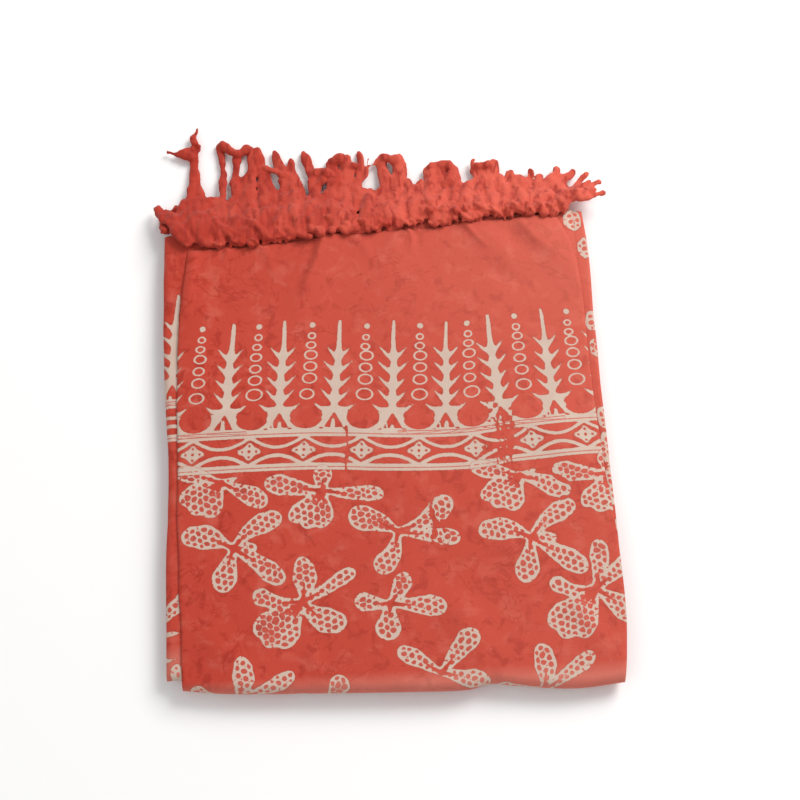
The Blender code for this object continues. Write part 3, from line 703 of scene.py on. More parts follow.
def wear_share(x, y):
    """How worn the resist is there: 0 where the print is whole, 1 where it broke up."""
    return np.clip(0.55 * noise(x, y, 17, 51) + 0.35 * noise(x, y, 7, 52), 0, 1)


def printed(x, y, flowers):
    """The print's fields at those points of the flat cloth, as three vectors a point."""
    petals, stars = flower_distance(x, y, flowers)
    return {
        "stamp": np.stack(stamp_distance(x, y), -1),
        "flower": np.stack([petals, stars, wear_share(x, y)], -1),
        "flat": np.stack([x, y, np.zeros_like(x)], -1),
    }


def patch_distance(x, y, patch):
    off = np.hypot((x - patch.x) / patch.half_width, (y - patch.y) / patch.half_height)
    return (off - 1) * patch.half_width


def store(mesh, name, values):
    """One number or vector for each corner point of the mesh."""
    kind, slot = ("FLOAT", "value") if values.ndim == 1 else ("FLOAT_VECTOR", "vector")
    layer = mesh.attributes.new(name, kind, "POINT")
    layer.data.foreach_set(slot, np.ascontiguousarray(values, np.float32).ravel())


def placed(name, data):
    thing = bpy.data.objects.new(name, data)
    bpy.context.scene.collection.objects.link(thing)
    return thing


def mesh_of(name, points, edges, faces):
    """A mesh of points in millimetres on the packet."""
    mesh = bpy.data.meshes.new(name)
    mesh.from_pydata(((points + PACKET_AT) * MM).tolist(), edges, faces)
    return mesh


def piece_of(name, mesh):
    mesh.shade_smooth()
    return placed(name, mesh)


def sheet_piece(name, outer, inner, stride, fields):
    """A closed thin sheet: a fine outer grid of points and a coarse inner one below it.

    outer and inner are rows x columns x 3 in millimetres, and the coarse grid keeps every
    stride-th row and column of inner.
    """
    rows, columns = outer.shape[:2]
    keep_r = sorted({*range(0, rows, stride), rows - 1})
    keep_c = sorted({*range(0, columns, stride), columns - 1})
    index = np.arange(rows * columns).reshape(rows, columns)
    below = rows * columns + np.arange(len(keep_r) * len(keep_c)).reshape(len(keep_r), len(keep_c))
    quads = np.stack([index[:-1, :-1], index[1:, :-1], index[1:, 1:], index[:-1, 1:]], -1)
    under = np.stack([below[:-1, :-1], below[:-1, 1:], below[1:, 1:], below[1:, :-1]], -1)
    faces = quads.reshape(-1, 4).tolist() + under.reshape(-1, 4).tolist()
    for i, (a, b) in enumerate(zip(keep_c, keep_c[1:])):
        faces.append([*index[0, a : b + 1].tolist(), int(below[0, i + 1]), int(below[0, i])])
        faces.append([*index[-1, a : b + 1][::-1].tolist(), int(below[-1, i]), int(below[-1, i + 1])])
    for i, (a, b) in enumerate(zip(keep_r, keep_r[1:])):
        faces.append([*index[a : b + 1, 0][::-1].tolist(), int(below[i, 0]), int(below[i + 1, 0])])
        faces.append([*index[a : b + 1, -1].tolist(), int(below[i + 1, -1]), int(below[i, -1])])
    kept = np.ix_(keep_r, keep_c)
    points = np.concatenate([outer.reshape(-1, 3), inner[kept].reshape(-1, 3)])
    mesh = mesh_of(name, points, [], faces)
    keep = np.concatenate([index.ravel(), index[kept].ravel()])
    for field, values in fields.items():
        store(mesh, field, values.reshape(-1, 3)[keep])
    return piece_of(name, mesh)


def spaced(zones):
    """Values down from the first zone's start, each zone at its own spacing."""
    values = []
    for start, end, step in zones:
        count = max(1, int(round(abs(end - start) / step)))
        values += [mix(start, end, k / count) for k in range(count)]
    values.append(zones[-1][1])
    return np.array(values)


def top_leaf_cloth():
    """The leaf that shows: flat, over the near fold, and a little way back below."""
    share = np.linspace(0, 1, TOP_COLUMNS)
    near_x = mix(curve(TOP_LEFT, TOP_NEAR[3].out), curve(TOP_RIGHT, TOP_NEAR[3].out), share)
    far_x = mix(curve(TOP_LEFT, TOP_FAR[3].out), curve(TOP_RIGHT, TOP_FAR[3].out), share)
    near_y, far_y = curve(TOP_NEAR, near_x), curve(TOP_FAR, far_x)
    centre_y = near_y + FOLD_DEPTH
    steps = spaced(TOP_ROW_ZONES)
    middle = (TOP_HEIGHT + FOLD_RETURN_HEIGHT) / 2
    radius = (TOP_HEIGHT - FOLD_RETURN_HEIGHT) / 2
    around = math.pi * (radius + FOLD_DEPTH) / 2
    rows, flat_rows, heights, tucked, turned = [], [], [], [], []

    def row(y, flat_y, height, tuck, turn):
        rows.append(y)
        flat_rows.append(flat_y)
        heights.append(height)
        tucked.append(tuck)
        turned.append(turn)

    for t in (steps[0] - steps) / (steps[0] - steps[-1]):
        y = mix(far_y, centre_y, t)
        row(y, y, TOP_HEIGHT, 0.0, 0.0)
    for angle in np.linspace(0, math.pi, 21)[1:]:
        share_round = angle / math.pi
        flat_y = centre_y - around * angle / math.pi
        height = middle + radius * math.cos(angle)
        row(centre_y - FOLD_DEPTH * math.sin(angle), flat_y, height, 0.0, share_round)
    for t in np.linspace(0, 1, 7)[1:]:
        back = FOLD_RETURN_LENGTH * t
        row(centre_y + back, centre_y - around - back, FOLD_RETURN_HEIGHT, smooth(t), 1.0)
    y, flat_y = np.array(rows), np.array(flat_rows)
    heights, tucked, turned = [np.array(values)[:, None] for values in (heights, tucked, turned)]
    left = curve(TOP_LEFT, y) + RETURN_INSET_LEFT * tucked
    right = curve(TOP_RIGHT, y) - RETURN_INSET_RIGHT * tucked
    left = left + 0.5 * noise(y, y * 0, 24, 61) + 0.2 * noise(y, y * 0, 6, 62)
    right = right + 0.45 * noise(y, y * 0, 30, 63)
    x = mix(left, right, share[None, :])
    base = heights * swell(x, y)
    lift = crease_lift(x, y) * (1 - smooth(turned * 2))
    edge = np.minimum(x - left, right - x)
    rolled = 0.55 * np.maximum(0, 1 - edge / 2.4) ** 2 * (1 - 2 * turned)
    hem = np.maximum(0, 1 - (far_y - y) / 2.0) * (1 - turned)
    outer = np.stack([x, y, base + lift - rolled - 0.5 * np.clip(hem, 0, 1) ** 2], -1)
    turn = np.pi * turned
    inner_x = np.clip(x, left + 0.15, right - 0.15)
    inner_z = base - CLOTH * np.cos(turn) * np.ones_like(x)
    inner = np.stack([inner_x, y + CLOTH * np.sin(turn), inner_z], -1)
    return sheet_piece("printed_top_leaf", outer, inner, 9, printed(x, flat_y, FIELD))


def second_leaf_cloth():
    """The leaf below, which shows as a strip at the left and round the fringes."""
    inwards = np.array([0, 0.25, 0.6, 1.1, 1.8, 2.6, 3.4] + [3.4 + 0.8 * k for k in range(1, 22)])
    far_columns = np.linspace(-124, 118, 40)
    off = np.concatenate([inwards, np.full(len(far_columns), 50.0)])
    roll = 2.0 * np.maximum(0, 1 - off / 3.4) ** 2
    first, last = SECOND_ROW_ZONES[-1][1], SECOND_ROW_ZONES[0][0]
    rows = []
    for t in (spaced(SECOND_ROW_ZONES) - first) / (last - first):
        guess_y = mix(-165, 118, t)
        ragged = 0.35 * noise(np.array(guess_y), np.array(0.0), 17, 71)
        x = np.concatenate([curve(SECOND_LEFT, guess_y) + ragged + inwards, far_columns])
        y = mix(near_edge(x) + SECOND_TURN_DEPTH, far_edge(x) - 0.4, t)
        rows.append((x, y, (SECOND_HEIGHT - roll) * swell(x, y), 0.0))
    middle = (SECOND_TURN_LOW + SECOND_HEIGHT) / 2
    for angle in np.linspace(0, 0.55 * math.pi, 9)[1:]:
        height = middle + (SECOND_HEIGHT - middle) * math.cos(angle) - roll
        rows.append((x, y - SECOND_TURN_DEPTH * math.sin(angle), height * swell(x, y), angle))
    x, y, z, turn = [np.array(column) for column in zip(*rows)]
    turn = turn[:, None]
    soft = 0.12 * noise(x, y, 21, 72) + 0.10 * noise(x, y, 8, 73)
    soft = soft * np.clip((x + 146) / 3, 0, 1) * (x < -126)
    outer = np.stack([x, y, z + soft], -1)
    inner_x = np.maximum(x, x[:, :1] + 0.2)
    inner = np.stack([inner_x, y + LOWER_CLOTH * np.sin(turn), z - LOWER_CLOTH * np.cos(turn)], -1)
    fields = printed(x - STRIP_PRINT_ASIDE, y - STRIP_PRINT_SHIFT, STRIP_FLOWERS)
    petals = fields["flower"][..., 0]
    for patch in LEFT_PATCHES + RIGHT_PATCHES[:2]:
        petals[:] = np.minimum(petals, patch_distance(x, y, patch))
    return sheet_piece("second_leaf_cloth", outer, inner, 6, fields)


def right_leaf_cloth():
    """A fold of the layers below, which shows as a strip at the right."""
    radius, middle, start = RIGHT_FOLD_RADIUS, RIGHT_FOLD_MIDDLE, RIGHT_FLAT_FROM
    rows = []
    for y in spaced(RIGHT_ROW_ZONES):
        ragged = 0.35 * float(noise(np.array(y), np.array(y * 0), 26, 81))
        centre = float(curve(RIGHT_OUTER, y)) + ragged - radius
        flat = list(np.linspace(start, RIGHT_STRIP_FROM, 6)[:-1])
        flat += [mix(RIGHT_STRIP_FROM, centre, t) for t in np.linspace(0, 1, 15)[:-1]]
        row = [(x, y, middle + radius, 0.0) for x in flat]
        for angle in np.linspace(0, math.pi, 15):
            row.append((centre + radius * math.sin(angle), y, middle + radius * math.cos(angle), angle))
        row += [(mix(centre, start, t), y, middle - radius, math.pi) for t in (0.5, 1.0)]
        rows.append(row)
    x, y, z, turn = np.moveaxis(np.array(rows), -1, 0)
    z = z * swell(x, y) + 0.12 * noise(x, y, 14, 82) * (turn < 1.6)
    outer = np.stack([x, y, z], -1)
    inner = np.stack([x - LOWER_CLOTH * np.sin(turn), y, z - LOWER_CLOTH * np.cos(turn)], -1)
    fields = printed(x, y, [])
    fields["stamp"][..., :2] = NOWHERE
    patches = [patch_distance(x, y, patch) + 0.6 * noise(x, y, 4, 83) for patch in RIGHT_PATCHES]
    fields["flower"][..., 0] = np.minimum(np.min(patches, axis=0), FAR_OFF)
    return sheet_piece("right_leaf_cloth", outer, inner, 5, fields)


def rounded_rectangle(left, right, near, far):
    """Points round a rectangle with round corners, from its near right corner on."""
    radius = LAYER_CORNER_RADIUS
    corners = [
        (right - radius, near + radius, -math.pi / 2),
        (right - radius, far - radius, 0.0),
        (left + radius, far - radius, math.pi / 2),
        (left + radius, near + radius, math.pi),
    ]
    points = []
    for (x, y, start), (next_x, next_y, next_start) in zip(corners, corners[1:] + corners[:1]):
        for step in range(LAYER_CORNER_STEPS + 1):
            angle = start + math.pi / 2 * step / LAYER_CORNER_STEPS
            points.append((x + radius * math.cos(angle), y + radius * math.sin(angle)))
        begin = points[-1]
        end = (next_x + radius * math.cos(next_start), next_y + radius * math.sin(next_start))
        for step in range(1, LAYER_SIDE_STEPS):
            share = step / LAYER_SIDE_STEPS
            points.append((mix(begin[0], end[0], share), mix(begin[1], end[1], share)))
    return np.array(points).T


def folded_edges():
    """The folded layers that don't show, one rounded solid whose sides are layered."""
    rings = []
    for k, layer in enumerate(HIDDEN_LAYERS):
        for half in (0, 1):
            low = mix(layer.low, layer.high, half / 2)
            high = mix(layer.low, layer.high, (half + 1) / 2)
            tuck = 0.9 * float(hash01(np.array(k), np.array(half), 91))
            for share, inset in LAYER_EDGE:
                rings.append((mix(low, high, share), inset + tuck, layer, k * 2 + half))
    rings[0] = (0.0, rings[0][1] - 1.0, *rings[0][2:])
    near_base, far_base = float(curve(TOP_NEAR, 0.0)), float(far_edge(0.0))
    made = []
    for height, inset, layer, k in rings:
        low_y, high_y = near_base + layer.near + inset, far_base - layer.far - inset
        x, y = rounded_rectangle(layer.left + inset, layer.right - inset, low_y, high_y)
        to_near = np.clip((LAYERS_MIDDLE_Y - y) / (LAYERS_MIDDLE_Y - low_y), 0, 1)
        to_far = np.clip((y - LAYERS_MIDDLE_Y) / (high_y - LAYERS_MIDDLE_Y), 0, 1)
        own_near = near_edge(x) - 1.5
        y = y + to_near * (own_near - near_base) + to_far * (far_edge(x) - far_base)
        x = x + 0.5 * np.sin(2 * np.pi * y / 145.0 + 1.7 * (k // 2)) + 0.22 * noise(x, y, 11, 100 + k)
        y = y + 0.25 * noise(x, y, 16, 140 + k)
        made.append(np.stack([x, y, height * swell(x, y)], -1))
    points = np.array(made)
    rows, around = points.shape[:2]
    index = np.arange(rows * around).reshape(rows, around)
    nxt = np.roll(index, -1, axis=1)
    faces = np.stack([index[:-1], nxt[:-1], nxt[1:], index[1:]], -1).reshape(-1, 4).tolist()
    faces += [index[0][::-1].tolist(), index[-1].tolist()]
    return piece_of("folded_edges", mesh_of("folded_edges", points.reshape(-1, 3), [], faces))


def add(tree, kind, settings=None, inputs=None):
    """One node with its settings and its inputs, which are values or other nodes' outputs."""
    node = tree.nodes.new(kind)
    for name, value in (settings or {}).items():
        setattr(node, name, value)
    for key, value in (inputs or {}).items():
        if isinstance(value, bpy.types.NodeSocket):
            tree.links.new(value, node.inputs[key])
        else:
            node.inputs[key].default_value = value
    return node


def number(tree, operation, a, b=0.0):
    """A sum on two numbers."""
    return add(tree, "ShaderNodeMath", {"operation": operation}, {0: a, 1: b}).outputs[0]


def vector(tree, operation, a, b=(0, 0, 0)):
    """A sum on two vectors."""
    return add(tree, "ShaderNodeVectorMath", {"operation": operation}, {0: a, 1: b}).outputs[0]


def scaled(tree, a, share):
    inputs = {0: a, "Scale": share}
    return add(tree, "ShaderNodeVectorMath", {"operation": "SCALE"}, inputs).outputs[0]


def yarn_tree(material):
    """Geometry Nodes that turn paths into yarns, each as thick as its points say."""
    tree = bpy.data.node_groups.new("yarns_from_paths", "GeometryNodeTree")
    for name, side, kind in (
        ("Paths", "INPUT", "Geometry"),
        ("Yarn sides", "INPUT", "Int"),
        ("Lumps per metre", "INPUT", "Float"),
        ("Lump height", "INPUT", "Float"),
        ("Yarns", "OUTPUT", "Geometry"),
    ):
        tree.interface.new_socket(name, in_out=side, socket_type="NodeSocket" + kind)

    def attribute(kind, name):
        node = add(tree, "GeometryNodeInputNamedAttribute", {"data_type": kind}, {"Name": name})
        return node.outputs["Attribute"]

    def step(kind, inputs):
        return add(tree, "GeometryNode" + kind, None, inputs).outputs[0]

    start = add(tree, "NodeGroupInput").outputs
    paths = step("MeshToCurve", {"Mesh": start["Paths"]})
    ring = step("CurvePrimitiveCircle", {"Resolution": start["Yarn sides"], "Radius": 1.0})
    profile = {"Profile Curve": ring, "Scale": attribute("FLOAT", "half_thickness")}
    tube = step("CurveToMesh", {"Curve": paths, "Fill Caps": True, **profile})
    texture = {"Scale": start["Lumps per metre"], "Detail": 3.0, "Roughness": 0.6}
    lumps = add(tree, "ShaderNodeTexNoise", {"noise_dimensions": "3D"}, texture).outputs["Fac"]
    swollen = number(tree, "MULTIPLY", number(tree, "SUBTRACT", lumps, 0.5), start["Lump height"])
    on_path = attribute("FLOAT_VECTOR", "path")
    away = vector(tree, "SUBTRACT", add(tree, "GeometryNodeInputPosition").outputs[0], on_path)
    lies = vector(tree, "ADD", on_path, vector(tree, "MULTIPLY", away, (1, 1, FLATTENED)))
    flat_tube = step("SetPosition", {"Geometry": tube, "Position": lies})
    outwards = add(tree, "GeometryNodeInputNormal").outputs[0]
    lumpy = step("SetPosition", {"Geometry": flat_tube, "Offset": scaled(tree, outwards, swollen)})
    real = step("RealizeInstances", {0: step("SetShadeSmooth", {0: lumpy})})
    dyed = step("SetMaterial", {0: real, "Material": material})
    add(tree, "NodeGroupOutput", None, {0: dyed})
    return tree


def yarn_piece(name, strands, tree, material, sides):
    """A piece of matted yarns. A strand is its path, points x 3 in millimetres, tone and radii."""
    edges, tones_and_painted_light, first = [], [], 0
    for path, tone, _ in strands:
        edges.extend((first + k, first + k + 1) for k in range(len(path) - 1))
        first += len(path)
        # Painted light: each yarn's tone is raised towards the right
        tones_and_painted_light.extend([tone + FRINGE_PAINTED_LIGHT * float(path[:, 0].mean()) / 130] * len(path))
    points = np.concatenate([path for path, _, _ in strands])
    radii = np.concatenate([np.maximum(radius, THINNEST) for _, _, radius in strands])
    mesh = mesh_of(name + "_paths", points, edges, [])
    store(mesh, "half_thickness", radii.astype(np.float32) * MM)
    store(mesh, "path", (points + PACKET_AT) * MM)
    guide = placed(name + "_paths", mesh)
    maker = guide.modifiers.new("yarns", "NODES")
    maker.node_group = tree
    sizes = {"Yarn sides": sides, "Lumps per metre": LUMPS_PER_METRE, "Lump height": LUMP_HEIGHT * MM}
    for item in tree.interface.items_tree:
        if item.name in sizes:
            maker[item.identifier] = sizes[item.name]
    matting = guide.modifiers.new("matting", "REMESH")
    matting.mode = "VOXEL"
    matting.voxel_size = MATTING * MM
    bpy.context.view_layer.update()
    ready = guide.evaluated_get(bpy.context.evaluated_depsgraph_get())
    made = bpy.data.meshes.new_from_object(ready)
    guide.modifiers.remove(matting)
    guide.modifiers.remove(maker)
    bpy.data.objects.remove(guide)
    made.name = name
    made.materials.clear()
    made.materials.append(material)
    felted(made, points, np.array(tones_and_painted_light))
    return piece_of(name, made)


def felted(mesh, points, tones_and_painted_light):
    """Small lumps on the matted yarns, and each yarn's tone, with the painted light that lightens the
    fringe towards the right, on the points near it.
    """
    at, normal = np.empty((2, len(mesh.vertices) * 3), np.float32)
    mesh.vertices.foreach_get("co", at)
    mesh.vertices.foreach_get("normal", normal)
    at, normal = at.reshape(-1, 3) / MM - PACKET_AT, normal.reshape(-1, 3)
    x, y, z = at.T
    lumps = 0.62 * noise(x + 0.6 * z, y * 0.6 - 0.4 * z, 3.6, 91)
    lumps = lumps + 0.15 * noise(x - 0.5 * z, y + 0.7 * z, 1.9, 92)
    lumps = lumps + 0.75 * noise(x + 0.3 * y, y * 0.6 - x * 0.2, 8.0, 93)
    at = at + normal * lumps[:, None]
    at[:, 2] = np.maximum(at[:, 2], LEAST_HEIGHT)
    mesh.vertices.foreach_set("co", ((at + PACKET_AT) * MM).astype(np.float32).ravel())
    tree = KDTree(len(points))
    for k, point in enumerate(points.tolist()):
        tree.insert(point, k)
    tree.balance()
    near = [tree.find(point)[1] for point in at.tolist()]
    store(mesh, "tone", tones_and_painted_light[near])


def clump_strands(root, tip, width, height_at, lift, bow, seed):
    """The matted strands of one flattened clump, from its knot out to its blunt tip."""
    rng = np.random.default_rng(seed)
    length = math.hypot(tip[0] - root[0], tip[1] - root[1])
    steps = max(9, int(length / 2.3))
    count = 2 if width < 6 else 3
    thick = width * (0.66 if count == 2 else 0.56)
    phase, waves = rng.uniform(0, 6.3), rng.uniform(0.9, 1.7)
    wave_size = rng.uniform(0.7, 1.5) * min(1.0, length / 45)
    twist = rng.uniform(0.6, 1.5) * rng.choice([-1, 1])
    clump_tone = rng.uniform(-0.2, 0.2)
    run = np.array([tip[0] - root[0], tip[1] - root[1]]) / max(length, 1e-6)
    strands = []
    for n in range(count):
        reach = 1.0 - (0 if n == 0 else rng.uniform(0.0, 0.045))
        t = np.linspace(0, reach, steps)
        turned = math.pi * (n + 0.5) / count + twist * math.pi * (t - 0.5) * 0.7
        room = (width - thick) / 2
        spread = mix(1.0, room, smooth(t / 0.35)) * (1 + 0.22 * np.sin(7 * t + phase + n))
        wave = wave_size * np.sin(2 * math.pi * waves * t + phase) * smooth(t / 0.3)
        own = rng.normal(0, 0.35) * np.sin(2 * math.pi * rng.uniform(1.5, 3.0) * t + rng.uniform(0, 6))
        side = spread * np.cos(turned) + wave + own + bow * np.sin(math.pi * np.minimum(t, 1))
        drift = t * (0.55 + 0.45 * smooth(t))
        x = mix(root[0], tip[0], drift) + side * run[1]
        y = mix(root[1], tip[1], t) - side * run[0] * 0.6
        radius = thick / 2 * (1.05 + 0.2 * np.sin(9 * t + 2.1 * n + phase))
        ended = np.clip((t / reach - 1 + 2.4 / length) / (2.4 / length), 0, 1)
        radius = radius * mix(0.85, 1.0, smooth(t / 0.25)) * np.sqrt(1 - 0.75 * ended**2)
        up = 0.7 * np.sin(turned) - 0.4
        z = height_at(x, y) + lift * (1 - smooth((t - 0.5) / 0.5)) + up
        z = np.maximum(z, radius * FLATTENED + 0.4)
        tone = clump_tone + rng.uniform(-0.15, 0.15)
        strands.append((np.stack([x, y, z], -1), tone, radius))
    return strands


def loose_lock(lock, height_at, seed):
    """One lock that lies over the others."""
    rng = np.random.default_rng(seed)
    length = math.hypot(lock.x1 - lock.x0, lock.y1 - lock.y0)
    t = np.linspace(0, 1, max(8, int(length / 2.0)))
    sway = rng.uniform(0.8, 1.6) * np.sin(2 * math.pi * rng.uniform(0.5, 1.0) * t + rng.uniform(0, 6))
    x = mix(lock.x0, lock.x1, t) + sway * ((lock.y1 - lock.y0) / length)
    y = mix(lock.y0, lock.y1, t) - sway * ((lock.x1 - lock.x0) / length)
    radius = mix(lock.start_width, lock.end_width, t) / 2 * (1 + 0.14 * np.sin(8 * t + seed))
    radius = radius * (1 - 0.5 * smooth((t - 0.93) / 0.07)) * (0.6 + 0.4 * smooth(t / 0.08))
    z = height_at(x, y) + 1.2 + 0.3 * radius
    return np.stack([x, y, z], -1), rng.uniform(-0.2, 0.2), radius


def knot_yarn(x, y, z, size, seed):
    """One knot: a yarn that winds twice round itself, squashed and turned."""
    rng = np.random.default_rng(seed)
    t = np.linspace(0, 2 * math.pi, 26)
    out = size * (0.56 + 0.30 * np.cos(3 * t))
    path = np.stack([out * np.cos(2 * t), size * 0.42 * np.sin(3 * t), out * np.sin(2 * t)], -1)
    turn, tip = rng.uniform(0, 6.28), rng.uniform(-0.5, 0.5)
    c, s = math.cos(turn), math.sin(turn)
    spin = np.array([[c, 0, s], [0, 1, 0], [-s, 0, c]])
    c, s = math.cos(tip), math.sin(tip)
    yaw = np.array([[c, -s, 0], [s, c, 0], [0, 0, 1]])
    path = path @ spin.T @ yaw.T * np.array([rng.uniform(0.9, 1.15), rng.uniform(1.0, 1.35), 0.86])
    return path + np.array([x, y, z]), rng.uniform(-0.3, 0.3), np.full(len(t), size * 0.42)


def upper_height(x, y):
    """Middle height of the upper fringe there: over the packet's edge and down to the table."""
    past = y - far_edge(x)
    sunk = 1 - SIDE_SINK * ((x - SWELL_CENTRE[0]) / SWELL_REACH[0]) ** 4
    return curve(UPPER_DRAPE, past) * mix(sunk, 1.0, smooth(past / FRINGE_LEVELS_OUT))


def lower_height(x, y):
    return curve(LOWER_DRAPE, y - far_edge(x))


def knot_height(x, y):
    """Middle height of a knot that rests on the top leaf."""
    cloth = TOP_HEIGHT * swell(x, y) + crease_lift(np.array(x), np.array(y))
    return float(cloth) + KNOT_REST


def knot_row(x, k):
    """How far out the upper fringe's k-th knot or clump begins."""
    return float(curve(TOP_FAR, x)) + 2.6 + 1.6 * math.sin(1.9 * k) + 0.8 * math.sin(0.7 * k + 1)


def upper_fringe(tree, material):
    """The knots and clumps of the end that lies on top."""
    strands = []
    for k, clump in enumerate(UPPER_CLUMPS):
        root, tip = (clump.root, knot_row(clump.root, k) + 1.0), (clump.tip_x, clump.tip_y)
        strands += clump_strands(root, tip, clump.width, upper_height, clump.lift, clump.bow, 1000 + k)
    # A row of knots, each with a shorter clump, fills what the clumps above leave open
    for k in range(UPPER_KNOTS):
        rng = np.random.default_rng(3000 + k)
        x = mix(*UPPER_KNOT_SPAN, k / (UPPER_KNOTS - 1)) + rng.uniform(-1.2, 1.2)
        y = knot_row(x, k)
        tip = (x * 1.03 + rng.uniform(-4, 4), 145.5 + 0.016 * (x + 130) + rng.uniform(-4.0, 3.0))
        lift, bow = rng.uniform(-0.8, 0.4), rng.uniform(-2, 2)
        strands += clump_strands((x, y + 1), tip, FILL_WIDTH, upper_height, lift, bow, 3100 + k)
        size = 2.9 + 0.6 * math.sin(2.3 * k)
        strands.append(knot_yarn(x, y, knot_height(x, y), size, 2000 + k))
    for k, lock in enumerate(LOOSE_LOCKS):
        strands.append(loose_lock(lock, upper_height, 4000 + k))
    for k, x in enumerate(SECOND_KNOTS):
        y = float(far_edge(x)) + 2.0 + 1.6 * math.sin(2.1 * k)
        height = float(upper_height(x, y)) + SECOND_KNOT_RISE
        strands.append(knot_yarn(x, y, height, SECOND_KNOT_SIZE, 5000 + k))
    # One strand behind the knots backs them all
    x = np.linspace(-128.0, 113.0, 90)
    y = curve(TOP_FAR, x) + 7.5
    strands.append((np.stack([x, y, upper_height(x, y) - 2.6], -1), 0.0, np.full(90, 3.4)))
    # The warp yarns between the cloth's end and the knots
    for k in range(WARP_YARNS):
        rng = np.random.default_rng(6000 + k)
        x = rng.uniform(-130, 114)
        start = float(curve(TOP_FAR, x)) - rng.uniform(0.2, 1.6)
        t = np.linspace(0, 1, 6)
        px, py = x + rng.uniform(-2, 2) * t, start + 4.0 * t
        path = np.stack([px, py, TOP_HEIGHT * swell(px, py) + 0.2 + 1.4 * t], -1)
        strands.append((path, rng.uniform(-0.2, 0.2), np.full(6, 0.75)))
    return yarn_piece("upper_fringe", strands, tree, material, 9)


def lower_fringe(tree, material):
    """The knots and clumps of the end below, which fill the gaps of the upper one."""
    strands = []
    for k in range(LOWER_KNOTS):
        rng = np.random.default_rng(7000 + k)
        x = mix(*LOWER_KNOT_SPAN, k / (LOWER_KNOTS - 1))
        root_y = float(far_edge(x)) + 3.0
        reach = float(curve(LOWER_REACH, x)) + rng.uniform(-3, 3)
        tip = (x + rng.uniform(-3, 3) + 0.02 * x, float(far_edge(x)) + reach)
        bow = rng.uniform(-1.5, 1.5)
        strands += clump_strands((x, root_y), tip, FILL_WIDTH, lower_height, 0.0, bow, 7100 + k)
        strands.append(knot_yarn(x, root_y, LOWER_KNOT_HEIGHT, LOWER_KNOT_SIZE, 7200 + k))
    return yarn_piece("lower_fringe", strands, tree, material, 8)


def linear(colour):
    """An sRGB colour such as #CC5B48 as Blender's linear numbers."""
    parts = [int(colour[k : k + 2], 16) / 255 for k in (1, 3, 5)]
    parts = [c / 12.92 if c <= 0.04045 else ((c + 0.055) / 1.055) ** 2.4 for c in parts]
    return (*parts, 1.0)


def empty_material(name):
    material = bpy.data.materials.new(name)
    material.use_nodes = True
    material.node_tree.nodes.clear()
    return material, material.node_tree


def attribute_of(tree, name):
    return add(tree, "ShaderNodeAttribute", {"attribute_name": name}).outputs


def ranged(tree, value, low, high, top, bottom=0.0):
    """The value's place between low and high, as a number from bottom to top."""
    inputs = {"Value": value, "From Min": low, "From Max": high, "To Min": bottom, "To Max": top}
    return add(tree, "ShaderNodeMapRange", None, inputs).outputs[0]


def noise_at(tree, place, scale, detail, roughness=0.5, distortion=0.0):
    inputs = {"Vector": place, "Scale": scale, "Detail": detail, "Roughness": roughness}
    return add(tree, "ShaderNodeTexNoise", None, inputs | {"Distortion": distortion}).outputs


def dyed_with(tree, share, under, over):
    """One colour laid over another by that share. Both are hex or other nodes' outputs."""
    first, second = [linear(c) if isinstance(c, str) else c for c in (under, over)]
    inputs = {"Factor": share, 6: first, 7: second}
    return add(tree, "ShaderNodeMix", {"data_type": "RGBA"}, inputs).outputs[2]


def soft_surface(tree, colour, roughness, specular, sheen, relief=None):
    """A dull surface in that colour, joined to the output.

    sheen is its weight and roughness, and relief is a height's output, strength and metres.
    """
    looks = {"Base Color": colour, "Roughness": roughness, "Specular IOR Level": specular}
    looks |= {"Sheen Weight": sheen[0], "Sheen Roughness": sheen[1]}
    if relief:
        bump = {"Height": relief[0], "Strength": relief[1], "Distance": relief[2]}
        looks["Normal"] = add(tree, "ShaderNodeBump", None, bump).outputs[0]
    surface = add(tree, "ShaderNodeBsdfPrincipled", None, looks)
    add(tree, "ShaderNodeOutputMaterial", None, {"Surface": surface.outputs[0]})
    return surface


